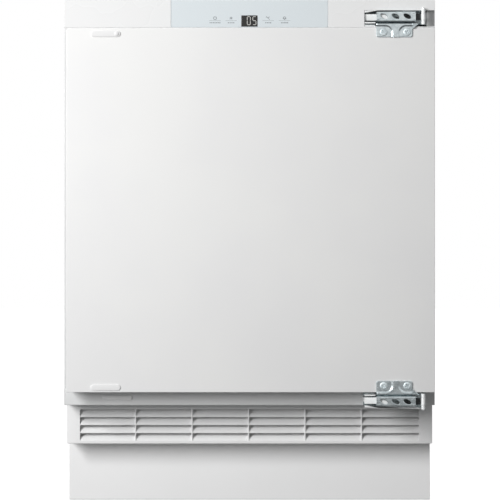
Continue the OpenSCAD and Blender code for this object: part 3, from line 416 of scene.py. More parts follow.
def fascia_foil():
    """Silver-blue lacquer behind a clear film: its metal flake is drawn 0.5 mm across, so that it shows."""
    made, tree, shader = material("silver_lacquer", "#DCE3E6", Metallic=0.15, Roughness=0.34,
                                  Coat_Weight=0.4, Coat_Roughness=0.12)
    flake = grains(tree, 0.5, detail=1)
    tinted(tree, shader, spread(tree, flake), "#E0E7EA", "#D6DEE2")
    return made


def rubber(name, code, shade):
    """Extruded or moulded elastomer: matt, with a fine bloom."""
    made, tree, shader = material(name, code, Sheen_Weight=0.1)
    bloom = grains(tree, 3, detail=4)
    tinted(tree, shader, spread(tree, bloom), code, shade)
    roughened(tree, shader, bloom, 0.55, 0.75)
    relief(tree, shader, bloom, 0.02, 0.4)
    return made


def rigid_foam():
    """Polyurethane foam: pale yellow, with cells about 1.4 mm across."""
    made, tree, shader = material("polyurethane_foam", "#E3D3A0", Roughness=0.85, Subsurface_Weight=0.1)
    bubbles = cells(tree, 1.4)["Distance"]
    relief(tree, shader, bubbles, 0.2, 0.8)
    tinted(tree, shader, bubbles, "#E8D9A8", "#CDBB84")
    return made


def printed_board():
    """Green solder mask over glass-fibre laminate, with the weave 0.6 mm apart just showing."""
    made, tree, shader = material("solder_mask", "#1F5A3A", Roughness=0.3, Coat_Weight=0.3)
    relief(tree, shader, grains(tree, 0.6, (3, 1, 1)), 0.01, 0.5)
    return made


FINISH = {
    "white_enamel": white_enamel("white_enamel", "#EFEFEE", "#ECECEC"),
    "galvanised_sheet": galvanised(),
    "insulation_foam": rigid_foam(),
    "liner_plastic": moulded("thermoformed_polystyrene", "#F1F2F2", "#EDEEEE", 0.26, 1.4, 0.006),
    "cap_plastic": moulded("cap_abs", "#EDEDED", "#E9E9E9", 0.4),
    "fascia_plastic": moulded("fascia_abs", "#EFEFEF", "#EEEFEF", 0.28, 0.6, 0.004),
    "fascia_foil": fascia_foil(),
    "display_glass": display_window(),
    "circuit_board": printed_board(),
    "aluminium_sheet": rolled_aluminium(),
    "black_plastic": moulded("black_polyamide", "#232425", "#1C1D1E", 0.5),
    "lamp_diffuser": moulded("opal_acrylic", "#F4F3EC", "#F0EFE8", 0.35, 1.0, 0.004,
                             Transmission_Weight=0.3),
    "shelf_glass": float_glass(),
    "trim_plastic": moulded("trim_abs", "#EDEEEE", "#E9EAEA", 0.35),
    "clear_plastic": clear_polystyrene(),
    "black_enamel": black_lacquer(),
    "mount_rubber": rubber("nitrile_rubber", "#202020", "#2A2A2A"),
    "copper": copper_tube(),
    "grille_plastic": moulded("grille_abs", "#F2F2F2", "#EFEFEF", 0.42, 0.9, 0.012),
    "zinc_steel": zinc_plate(),
    "pin_steel": drawn_steel(),
    "seal_rubber": rubber("soft_pvc", "#D4D6D6", "#CCCECE"),
    "foot_plastic": moulded("foot_polyamide", "#2A2B2C", "#222324", 0.55),
}
# Painted light: the plinth's white enamel drawn lighter, for the light that falls on its lower part.
PLINTH_ENAMEL_PAINTED_LIGHT = white_enamel("enamel_painted_light", "#FAFAFA", "#F8F8F8")
# Painted shade: the cabinet's white enamel drawn darker, for the shade on its edge set back behind the door.
CABINET_ENAMEL_PAINTED_SHADE = white_enamel("cabinet_enamel_painted_shade", "#D7D8D8", "#D3D4D4")
# Painted shade: the rail's white enamel drawn darker, for the shadow that the door casts on it.
RAIL_ENAMEL_PAINTED_SHADE = white_enamel("rail_enamel_painted_shade", "#E8E9E9", "#E5E6E6")
# Painted highlight: a near-white copy of the hinge zinc for the tongue, lips, barrel and bushing.
PAINTED_HIGHLIGHT_ZINC = zinc_painted_highlight()
BARREL_ZINC = zinc_plate("barrel_plated_zinc", 0.5, 0.65)
# Painted shade: the zinc links drawn near black for the shadow that falls on them.
LINK_PAINTED_SHADE = link_steel_painted_shade()
SEGMENTS = lit_segments()
PRINT = moulded("grey_screen_print", "#73787C", "#6C7175", 0.5)

slots = {s["node"]: s["material_slot"] for s in frame["record"]["subparts"]}
for name, shape in frame["nodes"].items():
    shape.data.materials.clear()
    shape.data.materials.append(FINISH[slots[name]])


# ---- cabinet skin, rail and plinth ----------------------------------------------

wrap_low, wrap_high = span("outer_wrapper")
rail_low, rail_high = span("front_rail")
skin_low, skin_high = span("door_outer_panel")
FOLD_WIDTH = 18.0
PANEL_WALL = 1.0


def arch(gap, depth, foot, corner=3.0, arc=5):
    """Points up the left side, over the top and down the right side of the cabinet, drawn in by gap."""
    left, right, top = wrap_low[0] + gap, wrap_high[0] - gap, wrap_high[2] - gap
    r = max(corner - gap, 0.2)
    turn = np.radians(np.linspace(180, 90, arc + 1))
    over_left = np.stack([left + r + r * np.cos(turn), top - r + r * np.sin(turn)], 1)
    over_right = over_left[::-1] * [-1, 1] + [left + right, 0]
    path = np.concatenate([[(left, foot)], over_left, over_right, [(right, foot)]])
    return np.stack([path[:, 0], np.full(len(path), depth), path[:, 1]], 1)


def cabinet_skin():
    """Arches swept from the front, whose edge is a quarter round of 0.6 mm, to the back, and the lip that
    the sheet is folded into behind the door."""
    front, back = wrap_low[1], wrap_high[1]
    side = [(1, front + 2)] + edge_round(0.6, front)[::-1] + [(0, back), (1, back)]
    lip = [(0.6, front), (FOLD_WIDTH, front), (FOLD_WIDTH, front + 1), (2.5, front + 1)]
    return [grid(np.array([arch(gap, depth, foot) for gap, depth in steps]), close=True)
            for steps, foot in ((side, wrap_low[2]), (lip, rail_high[2]))]


# The skin takes the painted shade enamel.
piece("cabinet_skin", cabinet_skin(), "cabinet", "white_enamel", ["outer_wrapper"], CABINET_ENAMEL_PAINTED_SHADE)


def sheet_profile(points, wall, radius):
    """The closed outline of a bent sheet: its outer line, filleted, and the same line set in by its wall."""
    outer = filleted(points, radius)
    ahead = np.gradient(outer, axis=0)
    ahead /= np.linalg.norm(ahead, axis=1)[:, None]
    inner = outer + wall * np.stack([-ahead[:, 1], ahead[:, 0]], 1)
    return np.concatenate([outer, inner[::-1]])


def folded_panel(node, radius):
    """An upright front panel of sheet whose lower edge is folded back on that radius."""
    low, high = span(node)
    line = [(low[1], high[2]), (low[1], low[2]), (high[1], low[2])]
    return [prism(sheet_profile(line, PANEL_WALL, radius), low[0], high[0], bevel=0.4)]


# The rail takes the painted shade enamel, the plinth the painted light enamel.
piece("bottom_rail", folded_panel("front_rail", 1.2), "cabinet", "white_enamel", ["front_rail"], RAIL_ENAMEL_PAINTED_SHADE)
piece("plinth", folded_panel("plinth_panel", 1.6), "cabinet", "white_enamel", ["plinth_panel"], PLINTH_ENAMEL_PAINTED_LIGHT)


# ---- grille --------------------------------------------------------------------

grille_low, grille_high = span("vent_grille")
GRILLE_FRONT = grille_low[1]
LOUVRE = (-277.0, grille_low[2] + 4.4, 277.0, grille_low[2] + 56.0)
LOUVRE_BACK = GRILLE_FRONT + 20
ROWS, COLUMNS, PITCH = 4, 6, 13.07
BLADE_WALL, BLADE_DEPTH, BLADE_RISE, NOSE = 1.7, 15.0, 12.6, 0.6
BAR_HALF, BAR_SHIFT = 1.1, 1.5


def grille_frame():
    """Front frame, its returns and the louvre box: one closed section carried round both rectangles."""
    front, back = GRILLE_FRONT, grille_high[1]
    outer = face_of(grille_low, grille_high)
    rows = drawn_in(outer, 2.0, [(2, back), (0, back)] + edge_round(0.7, front))
    rows += drawn_in(LOUVRE, 1.3, [(g - 0.5, d) for g, d in edge_round(0.5, front)[::-1]])
    rows += drawn_in(LOUVRE, 0.8, [(0, LOUVRE_BACK), (-2, LOUVRE_BACK), (-2, front + 3)])
    rows += drawn_in(outer, 1.0, [(2, front + 3)])
    return rings(rows, close=True)


def blade(k):
    """Blade k: a thin nose cut back underneath, and a top that climbs as rise * (t - 0.06)^0.62."""
    height = LOUVRE[1] - 0.3 + k * PITCH
    turn = np.radians(np.linspace(90, 225, 7))
    nose = np.stack([GRILLE_FRONT + NOSE + NOSE * np.cos(turn), height + 0.4 + NOSE * np.sin(turn)], 1)
    t = np.linspace(0.08, 1, 14)
    climb = height + 1 + (BLADE_RISE - 1) * (t - 0.06) ** 0.62
    top = np.stack([GRILLE_FRONT + BLADE_DEPTH * t, climb], 1)
    under = top[1:] - [0, BLADE_WALL]
    return prism(np.concatenate([top[::-1], nose, under]), LOUVRE[0] - 0.5, LOUVRE[2] + 0.5)


def bar(k):
    """Upright bar at the left of column k, with its front edges sloped."""
    middle = LOUVRE[0] + (LOUVRE[2] - LOUVRE[0]) * k / COLUMNS - BAR_SHIFT
    outline = (middle - BAR_HALF, LOUVRE[1] - 0.5, middle + BAR_HALF, LOUVRE[3] + 0.5)
    steps = [(0, LOUVRE_BACK), (0, GRILLE_FRONT + 1.2), (0.3, GRILLE_FRONT + 0.6), (0.7, GRILLE_FRONT + 0.4)]
    return rings(drawn_in(outline, 0.2, steps), arc=1)


louvres = [blade(k) for k in range(ROWS)] + [bar(k) for k in range(1, COLUMNS)]
piece("louvred_grille", [grille_frame()] + louvres, "cabinet", "grille_plastic", ["vent_grille"])


# ---- door outside ----------------------------------------------------------------

DOOR = face_of(skin_low, skin_high)
FACE = skin_low[1]


def door_skin():
    """Steel pan: inside face, rim, and the front with its folded edges rounded to 0.8 mm."""
    rim = drawn_in(DOOR, 1.2, [(1, FACE + 1), (1, skin_high[1]), (0, skin_high[1])])
    return rings(rim + drawn_in(DOOR, 1.4, edge_round(0.8, FACE)))


piece("door_skin", [door_skin()], "door", "white_enamel", ["door_outer_panel"])


def pill_cap(centre, size, face, proud, stud=None):
    """Snap-in cap: a rounded rim, then a crown of y = c * (1 - (1 - t)^2) up to its middle line. A stud
    given as (x, radius) stands on it as a dome."""
    (x, z), (w, h) = centre, size
    top = face - proud
    rim = [(0, face)] + edge_round(0.5, top + 0.25)
    crown = [(0.5 + t * (h / 2 - 0.7), top + 0.25 * (1 - t) ** 2) for t in np.linspace(0.15, 1, 7)]
    outline = (x - w / 2, z - h / 2, x + w / 2, z + h / 2)
    parts = [rings(drawn_in(outline, h / 2 - 0.02, rim + crown))]
    if stud:
        middle, r = stud
        dome = [(AXIS, face), (r, face - 0.1), (r, top - 0.1), (r * 0.94, top - 0.45),
                (r * 0.75, top - 0.75), (r * 0.4, top - 0.9), (AXIS, top - 0.95)]
        parts.append(turned(dome, (middle, 0, z), "y"))
    return parts


CAP_TALL, STUD_TALL = 10.0, 1.0
cap_low, cap_high = span("door_caps")
cap_middle = (cap_low[0] + cap_high[0]) / 2
cap_size = (cap_high[0] - cap_low[0], CAP_TALL)
cap_proud = FACE - cap_low[1] - STUD_TALL
stud = (cap_high[0] - 6.3, 3.6)
upper_cap = pill_cap((cap_middle, cap_high[2] - CAP_TALL / 2), cap_size, FACE, cap_proud, stud)
lower_cap = pill_cap((cap_middle, cap_low[2] + CAP_TALL / 2), cap_size, FACE, cap_proud)
piece("door_hole_caps", upper_cap + lower_cap, "door", "cap_plastic", ["door_caps"])

plug_low, plug_high = span("rail_cap")
plug_middle = (plug_low + plug_high)[[0, 2]] / 2
plug_size = (plug_high - plug_low)[[0, 2]]
rail_plug = pill_cap(plug_middle, plug_size, rail_low[1], rail_low[1] - plug_low[1] - 0.2)
piece("rail_hole_cap", rail_plug, "cabinet", "cap_plastic", ["rail_cap"])


# ---- control fascia ----------------------------------------------------------------

fascia_low, fascia_high = span("fascia_housing")
foil_low, foil_high = span("fascia_panel")
glass_low, glass_high = span("display_window")
arm_low, arm_high = span("hinge_arm_top")
bracket_low, bracket_high = span("hinge_bracket_top")
UPPER_HINGE = bracket_high[2] - 8.2
SEAM = 0.5
NOTCH_DEPTH = 11.0


def fascia_housing():
    """Left part, right part with the hinge's notch, seat of the centre panel, floor of the notch, and a lip
    over the door's top. Each is an outline, its depth behind the face, and its chamfer."""
    face, back, low, high = fascia_low[1], fascia_high[1], fascia_low[2], fascia_high[2]
    left, right, seat = fascia_low[0], fascia_high[0], foil_high[0]
    edge = seat + SEAM / 2
    near, foot, top = arm_low[0] - 0.4, UPPER_HINGE - 15.2, UPPER_HINGE + 10.5
    notched = [(edge, low), (right, low), (right, foot), (near, foot), (near, top), (right, top),
               (right, high), (edge, high)]
    slabs = [(rectangle(left, low, -edge, high), 0, 0.3),
             (notched, 0, 0.3),
             (rectangle(-seat - 1, low, seat + 1, high), 1.0, 0.1),
             (rectangle(arm_high[0] + 0.6, foot - 1, right - 0.6, top + 1), NOTCH_DEPTH, 0.1),
             (rectangle(left + 0.8, low - 1.6, right - 0.8, low + 1), 0.8, 0.1)]
    return [prism(outline, face + depth, back, "xz", bevel) for outline, depth, bevel in slabs]


piece("fascia_body", fascia_housing(), "cabinet", "fascia_plastic", ["fascia_housing"])

GLASS_FOOT = glass_low[2] + 1.1
PRINT_FACE = foil_low[1]


def centre_panel():
    """The panel round three sides of the display window, and a strip below the window."""
    edge, shoulder = foil_high[0] - SEAM / 2, foil_low[2] + 1
    bridge = [(-edge, shoulder), (glass_low[0], shoulder), (glass_low[0], glass_high[2]),
              (glass_high[0], glass_high[2]), (glass_high[0], shoulder), (edge, shoulder),
              (edge, foil_high[2]), (-edge, foil_high[2])]
    strip = rectangle(-edge, foil_low[2], edge, GLASS_FOOT)
    return [prism(bridge, PRINT_FACE, PRINT_FACE + 1.4, "xz", 0.15),
            prism(strip, PRINT_FACE, PRINT_FACE + 1.2, "xz", 0.15)]


piece("centre_panel", centre_panel(), "cabinet", "fascia_foil", ["fascia_panel"])

pane = (glass_low[0] + 0.15, GLASS_FOOT + 0.1, glass_high[0] - 0.15, glass_high[2] - 0.15)
window = rings(drawn_in(pane, 0.8, [(0, glass_high[1])] + edge_round(0.3, glass_low[1])))
piece("display_glass", [window], "cabinet", "display_glass", ["display_window"])

SEGMENT_PATHS = {"a": ((0, 1), (1, 1)), "b": ((1, 1), (1, 0.5)), "c": ((1, 0.5), (1, 0)),
                 "d": ((0, 0), (1, 0)), "e": ((0, 0.5), (0, 0)), "f": ((0, 1), (0, 0.5)),
                 "g": ((0, 0.5), (1, 0.5))}
DIGITS = {"0": "abcdef", "5": "afgcd"}
DIGIT_FOOT, DIGIT_WIDE, DIGIT_TALL, SEGMENT = 775.8, 5.0, 12.8, 0.95


def digit(number, left):
    """Lit segments of one digit: bars with pointed ends along the paths of its cell."""
    parts = []
    for name in DIGITS[number]:
        a, b = (np.array(end) * [DIGIT_WIDE, DIGIT_TALL] + [left, DIGIT_FOOT] for end in SEGMENT_PATHS[name])
        along = (b - a) / np.linalg.norm(b - a)
        side = np.array([-along[1], along[0]]) * SEGMENT / 2
        a, b = a + along * 0.25, b - along * 0.25
        tip = along * SEGMENT / 2
        outline = [a, a + tip - side, b - tip - side, b, b - tip + side, a + tip + side]
        parts.append(prism(outline, glass_low[1] - 0.12, glass_low[1] + 0.2, "xz", 0.04))
    return parts


piece("display_digits", digit("0", -3.6) + digit("5", 5.3), "cabinet", "display_glass", finish=SEGMENTS)

KEY_X = (-54.8, -29.3, 29.7, 55.6)
WORD_WIDTHS = (18.0, 11.5, 10.5, 12.0)
ICON_Z, RULE_Z, WORD_Z = 786.3, 782.4, 778.9


def stroke(points, width=0.8):
    """A printed line along a path of (x, z) points, 0.05 mm proud of the panel."""
    return ribbon(points, width, PRINT_FACE - 0.05, PRINT_FACE + 0.1)


def arc_path(x, z, r, first, last, steps=20):
    """Points on a circle about (x, z), from the first angle to the last, in degrees."""
    turn = np.radians(np.linspace(first, last, steps + 1))
    return np.stack([x + r * np.cos(turn), z + r * np.sin(turn)], 1)


def touch_marks():
    """Generic marks of the four touch keys: ring with a bar, star, slanted strokes, dome on a line."""
    ring_x, star_x, slant_x, dome_x = KEY_X
    parts = [stroke(arc_path(ring_x, ICON_Z, 2.4, 115, 425)),
             stroke([(ring_x, ICON_Z + 0.6), (ring_x, ICON_Z + 3.0)])]
    for turn in np.radians([30, 90, 150]):
        reach = 2.6 * np.array([math.cos(turn), math.sin(turn)])
        parts.append(stroke([(star_x, ICON_Z) - reach, (star_x, ICON_Z) + reach], 0.6))
    slants = ([(-2.9, 2.2), (-1.2, 0.8), (2.6, -2.4)], [(-0.8, 0.4), (2.4, 2.2)], [(-3.6, 1.2), (-2.4, 2.7)])
    parts += [stroke(np.array(path) + (slant_x, ICON_Z), 0.7) for path in slants]
    parts.append(stroke(arc_path(dome_x, ICON_Z, 2.0, -30, 210)))
    parts.append(stroke([(dome_x - 2.7, ICON_Z - 1.1), (dome_x + 2.7, ICON_Z - 1.1)]))
    parts.append(stroke(arc_path(dome_x, ICON_Z - 1.3, 0.8, 200, 340, 8)))
    return parts


def rules_and_dashes():
    """A thin rule under each mark, and below it a row of dashes where a word would stand."""
    parts = []
    for x, width in zip(KEY_X, WORD_WIDTHS):
        parts.append(stroke([(x - 9.2, RULE_Z), (x + 9.2, RULE_Z)], 0.3))
        count = round(width / 2.6)
        for k in range(count):
            middle = x + (k - (count - 1) / 2) * width / count
            parts.append(stroke([(middle - 0.85, WORD_Z), (middle + 0.85, WORD_Z)], 1.3))
    return parts


piece("touch_marks", touch_marks() + rules_and_dashes(), "cabinet", "fascia_foil", finish=PRINT)


# ---- hinges ------------------------------------------------------------------------
# Each part is drawn about the hinge's centre line, at height 0.

PIVOT_Y = FACE - 4.5
BARREL_X = arm_high[0] - 6
LINK_X = BARREL_X - 30
CHANNEL_X = bracket_low[0]
CHANNEL_LEN, CHANNEL_HALF, SHEET = 62.0, 8.2, 1.5
SLOT_X, SLOT_PITCH, SLOT_LEAN = 11.9, 18.4, math.radians(26)
STEM = (CHANNEL_X + 26.3, CHANNEL_X + 35.3)
FLANGE_X1, FLANGE_TOP, FLANGE_FOOT = CHANNEL_X + 57.8, -10.2, -32.5
ARM_LOW, ARM_HIGH = -12.6, 10.2
LOWER_HINGE = span("hinge_bracket_bottom")[0][2] + CHANNEL_HALF

SLOT_RINGS = ((7.5, 4.0, 0), (7.1, 3.7, 0), (6.6, 3.4, 0.15), (6.3, 3.1, 0.6), (6.3, 3.1, SHEET))


def slotted_cell(x0, x1, z0, z1, middle, front, tilt, side_points=10):
    """A wall with one slot: rings from the cell's edge over the slot's rounded rim and through to the back.
    The slot is an ellipse turned by tilt, of half axes a and b: reach = a * b / hypot(b * cos, a * sin)."""
    corners = np.array([(x1, z0), (x1, z1), (x0, z1), (x0, z0)])
    t = (np.arange(side_points) / side_points)[:, None]
    edge = np.concatenate([a + (b - a) * t for a, b in zip(corners, np.roll(corners, -1, 0))])
    turn = np.arctan2(edge[:, 1], edge[:, 0] - middle)
    way = np.stack([np.cos(turn), np.sin(turn)], 1)
    outlines = [(edge, front)]
    for a, b, depth in SLOT_RINGS:
        reach = a * b / np.hypot(b * np.cos(turn - tilt), a * np.sin(turn - tilt))
        outlines.append(((middle, 0) + way * reach[:, None], front + depth))
    outlines.append((edge, front + SHEET))
    out = [np.stack([flat[:, 0], np.full(len(flat), depth), flat[:, 1]], 1) for flat, depth in outlines]
    return grid(np.array(out), wrap=True)


def channel(tilt):
    """Door-side channel: its slotted face in three cells, their ends, and two folded walls behind them."""
    front, back = FACE - 10, FACE + 9
    edges = CHANNEL_X + np.array([0, 21.2, 39.6, CHANNEL_LEN])
    low, high = SHEET - CHANNEL_HALF, CHANNEL_HALF - 0.9 - SHEET
    parts = []
    for k in range(3):
        middle = CHANNEL_X + SLOT_X + SLOT_PITCH * k
        parts.append(slotted_cell(edges[k], edges[k + 1], low, high, middle, front, tilt))
    for x in (edges[0], edges[3]):
        end = [(x, front, low), (x, front + SHEET, low), (x, front + SHEET, high), (x, front, high)]
        parts.append((np.array(end), [(0, 1, 2, 3)]))
    turn = np.radians(np.linspace(180, 90, 7))
    for side, flat in ((1, high), (-1, -low)):
        bend = np.stack([front + SHEET + SHEET * np.cos(turn), flat + SHEET * np.sin(turn)], 1)
        fold = np.concatenate([bend, [(back, flat + SHEET), (back, flat), (front + SHEET, flat)]])
        parts.append(prism(fold * [1, side], edges[0], edges[3], bevel=0.15))
    return parts


def flange():
    """T flange as a height field: 2 mm sheet whose T stands out by lift, falling to each screw's seat down a
    slope around a corner of radius r: d = |max(a, b, 0)| - r, height = 2 + lift * ramp(d / slope). A thin
    neck joins it to the channel."""
    x0, x1, top, foot, corner = CHANNEL_X, FLANGE_X1, FLANGE_TOP, FLANGE_FOOT, 4.0
    r, slope, lift = 11, 2.4, 1.6
    z = np.concatenate([np.linspace(top, -20, 34), np.linspace(-20, foot, 26)[1:]])
    under = np.maximum(corner - (z - foot), 0)
    cut_in = corner - np.sqrt(np.maximum(corner ** 2 - under ** 2, 0))
    u = np.linspace(0, 1, 90)
    x = (x0 + cut_in)[:, None] * (1 - u) + (x1 - cut_in)[:, None] * u
    zz = np.broadcast_to(z[:, None], x.shape)
    raised = np.zeros_like(x)
    for side, edge in ((1, STEM[0]), (-1, STEM[1])):
        a = side * (x - edge) + 12
        b = zz - (-CHANNEL_HALF - 6) + r
        d = np.hypot(np.maximum(a, 0), np.maximum(b, 0)) + np.minimum(np.maximum(a, b), 0) - r
        t = np.clip(d / slope + 0.5, 0, 1)
        rise = t - 0.12 * np.sin(2 * math.pi * t)
        raised = np.maximum(raised, np.where(side * (x - (STEM[0] + STEM[1]) / 2) <= 0, rise, 0))
    rim = np.minimum(np.minimum(u, 1 - u)[None, :] * (x1 - x0), np.minimum(z - foot, top - z)[:, None])
    soft = np.sqrt(np.clip(rim / 0.8, 0, 1))
    height = 0.6 + (1.4 + lift * raised) * soft
    field = np.stack([x, FACE - height, zz], -1)
    skirt = np.concatenate([field[::-1, 0], field[0, 1:-1], field[:, -1], field[-1, 1:-1][::-1]])
    wall = np.stack([skirt, skirt * [1, 0, 1] + [0, FACE, 0]])
    neck = [(FACE - 0.3, top - 1), (FACE - 0.3, top), (FACE + 2.2, -CHANNEL_HALF),
            (FACE + 3.4, -CHANNEL_HALF), (FACE + 0.9, top - 1)]
    return [grid(field), grid(wall, wrap=True), prism(neck, x0 + 1, x1 - 1, bevel=0.1)]


def ear():
    """Small ear of the flange beside the barrel, its edge rolled forward into a bead."""
    x, top = FLANGE_X1, FLANGE_TOP
    outline = [(x - 0.6, -19), (x, -19), (x + 2.6, -16.5), (x + 8.2, -12.6), (x + 8.2, top), (x - 0.6, top)]
    bead = [(x + 0.6, -17.6), (x + 2.6, -15.8), (x + 5.4, -13.6)]
    band = [(x - 0.8, -13.8), (x + 7.4, -12.8), (x + 8.2, -10.4), (x - 0.8, -10.4)]
    return [prism(outline, FACE - 2, FACE, "xz", 0.3),
            ribbon(bead, 1.4, FACE - 3.4, FACE - 1),
            prism(band, FACE - 3.4, FACE - 1, "xz", 0.4)]


def arm():
    """Cabinet side: two walls that reach forward to the barrel, and the web that joins them."""
    x0, x1, cab = arm_low[0], arm_high[0], arm_high[1]
    front = FACE + 1.5
    wall = [(x0, front + 7), (CHANNEL_X - 2, front + 7), (CHANNEL_X, front + 9), (BARREL_X - 12, front + 9),
            (BARREL_X - 7, front), (BARREL_X - 3.4, PIVOT_Y + 1), (BARREL_X - 2.2, PIVOT_Y - 2.6),
            (BARREL_X, PIVOT_Y - 3.2), (BARREL_X + 2.2, PIVOT_Y - 2.6), (BARREL_X + 3.5, PIVOT_Y),
            (x1, front + 10), (x1, cab), (x0, cab)]
    web = rectangle(x0, ARM_LOW + 1, x1, ARM_HIGH - 1)
    return [prism(wall, ARM_LOW, ARM_LOW + SHEET, "xy", 0.25),
            prism(wall, ARM_HIGH - SHEET, ARM_HIGH, "xy", 0.25),
            prism(web, cab - SHEET, cab, "xz", 0.1)]


def lips(foot):
    """Folded lips along the arm's front edges. Only the upper arm has one at its foot, because the door's
    lower edge takes that place at the other one."""
    x0, x1, near = arm_low[0], CHANNEL_X - 1, BARREL_X - 3.6
    lines = [[(x0, 6.6), (x1, 8.4), (CHANNEL_X + 2, 9.9), (near, 10.5), (near, 12.4), (CHANNEL_X + 40, 11.5),
              (x0, ARM_HIGH)],
             [(x0, -10.4), (x1, -10.2), (x1, -8.2), (x0, -8.0)]]
    if foot:
        lines.append([(x0, -15.1), (x1, -15.1), (x1, -13.3), (x0, -12.9)])
    return [prism(line, FACE + 0.5, FACE + 2.5, "xz", 0.4) for line in lines]


def tongue():
    """Adjuster plate that reaches into the channel, the post that carries it, and the block on its end."""
    face, end = FACE + 4, CHANNEL_X + 20
    plate = filleted([(face, -5.6), (face - 0.8, 4.8), (face + 2, 4.8), (face + 2, -5.6)], 0.7, closed=True)
    post = rectangle(arm_low[0], face + 1.5, arm_low[0] + 10, arm_high[1] - 1)
    block = rectangle(CHANNEL_X + 4, FACE - 6.5, end, face + 1)
    return [prism(plate, arm_low[0], end, bevel=0.3), prism(post, -4, 4, "xy", 0.3),
            prism(block, -4.4, 4.4, "xy", 0.6)]


def sleeve(x, r, z0, z1, edge=0.3, sides=48):
    """A round upright part about the pivot at x, from z0 to z1, with chamfered ends."""
    profile = [(AXIS, z0), (r - edge, z0), (r, z0 + edge), (r, z1 - edge), (r - edge, z1), (AXIS, z1)]
    return turned(profile, (x, PIVOT_Y, 0), sides=sides)


def barrel():
    """Knuckles of the arm round its pin, one below the link's eye and one above it."""
    return [sleeve(BARREL_X, 3.2, ARM_LOW, -5.7), sleeve(BARREL_X, 3.2, 5.7, 12.4)]


def link():
    """Pressed link: a rolled eye at each pivot, joined by a plate behind them."""
    r = 3.5
    plate = math.asin(SHEET / r)
    first = np.linspace(math.pi / 2, 2 * math.pi + plate, 28)
    second = np.linspace(math.pi - plate, 2.5 * math.pi, 28)
    eyes = [np.stack([x + r * np.cos(turn), PIVOT_Y + r * np.sin(turn)], 1)
            for x, turn in ((LINK_X, first), (BARREL_X, second))]
    return [prism(np.concatenate(eyes), -5.4, 5.4, "xy", 0.35)]


def barrel_pin():
    """Riveted pin through the barrel, with a flat head on top."""
    shaft = [(AXIS, ARM_LOW), (1.7, ARM_LOW), (2, ARM_LOW + 0.4)]
    head = [(2, 13), (2.9, 13), (2.9, 13.6), (2.2, 14), (AXIS, 14)]
    return [turned(shaft + head, (BARREL_X, PIVOT_Y, 0), sides=32)]


def cross_screw(x, z, seat, r, tall, cross_turn):
    """Pan head as a polar height field: a crown with a rounded rim, and a cross recess 1.5 mm wide."""
    radii = np.concatenate([[r, r, r - 0.25], np.linspace(r - 0.8, 0.02, 26)])
    turn = np.linspace(0, 2 * math.pi, 96, endpoint=False)
    crown = tall * np.sqrt(np.clip(1 - (radii / r) ** 3.2, 0, 1))
    crown[0], crown[1] = 0, tall * 0.22
    a = np.abs(radii[:, None] * np.cos(turn - cross_turn))
    b = np.abs(radii[:, None] * np.sin(turn - cross_turn))
    recess = [np.clip((0.75 - across) / 0.3 + 0.5, 0, 1) * np.clip((r * 0.56 - along) / 0.8, 0, 1)
              for across, along in ((a, b), (b, a))]
    height = crown[:, None] - 0.9 * np.maximum(*recess)
    ring_x, ring_z = x + radii[:, None] * np.cos(turn), z + radii[:, None] * np.sin(turn)
    return grid(np.stack([ring_x, seat - height, ring_z], -1), wrap=True, caps=True)


def placed(parts, upper):
    """Parts drawn about the hinge's centre line, moved to the upper hinge or mirrored into the lower one."""
    flip, height = ([1, 1, 1], UPPER_HINGE) if upper else ([1, 1, -1], LOWER_HINGE)
    return [(points * flip + [0, 0, height], faces) for points, faces in parts]


def both(parts):
    """The same parts at the upper and at the lower hinge."""
    return placed(parts, True) + placed(parts, False)


for side, up in (("top", True), ("bottom", False)):
    bracket = channel(-SLOT_LEAN if up else SLOT_LEAN) + flange() + ear()
    piece("hinge_channel_" + side, placed(bracket, up), "door", "zinc_steel", ["hinge_bracket_" + side],
          smooth=30)
    piece("hinge_body_" + side, placed(arm(), up), "cabinet", "zinc_steel", ["hinge_arm_" + side])
    # The lips, tongue and barrel take the painted highlight zinc.
    painted_highlight_parts = lips(foot=up) + tongue() + barrel()
    piece("hinge_tongue_" + side, placed(painted_highlight_parts, up), "cabinet", "zinc_steel", finish=PAINTED_HIGHLIGHT_ZINC)
    # The links take the painted shade finish.
    piece("hinge_plate_" + side, placed(link(), up), "hinge_links", "zinc_steel", ["hinge_link_" + side],
          finish=LINK_PAINTED_SHADE)
    # The bushing takes the painted highlight zinc too.
    bushing = [sleeve(BARREL_X, 3.6, -5.5, 5.5)]
    piece("hinge_bushing_" + side, placed(bushing, up), "hinge_links", "zinc_steel", finish=PAINTED_HIGHLIGHT_ZINC)

channel_pin = [sleeve(LINK_X, 2, -8.2, 8.2, edge=0.4, sides=32)]
flange_screws = [cross_screw(CHANNEL_X + dx, -24.2, FACE - 2, 6.2, 1.1, turn)
                 for dx, turn in ((11.8, 0.5), (49.2, 1.1))]
arm_screws = [cross_screw(CHANNEL_X + dx, 0, arm_high[1] - SHEET, 4.0, 2.0, 0.8) for dx in (4.8, 36.8)]
piece("barrel_pins", both(barrel_pin()), "cabinet", "pin_steel", ["hinge_fixed_pins"])
piece("channel_pins", both(channel_pin), "door", "pin_steel", ["hinge_door_pins"], BARREL_ZINC)
piece("flange_screws", both(flange_screws), "door", "zinc_steel", ["hinge_door_screws"], BARREL_ZINC, 50)
piece("arm_screws", both(arm_screws), "cabinet", "zinc_steel", ["hinge_arm_screws"], BARREL_ZINC, 50)


# ---- door inside -----------------------------------------------------------------

seal_low, seal_high = span("door_gasket")
liner_low, liner_high = span("door_liner")
DOOR_BACK = seal_low[1]
DYKE = (-246.0, 232.0, 246.0, 728.0)
BALCONY_ROUND = 18


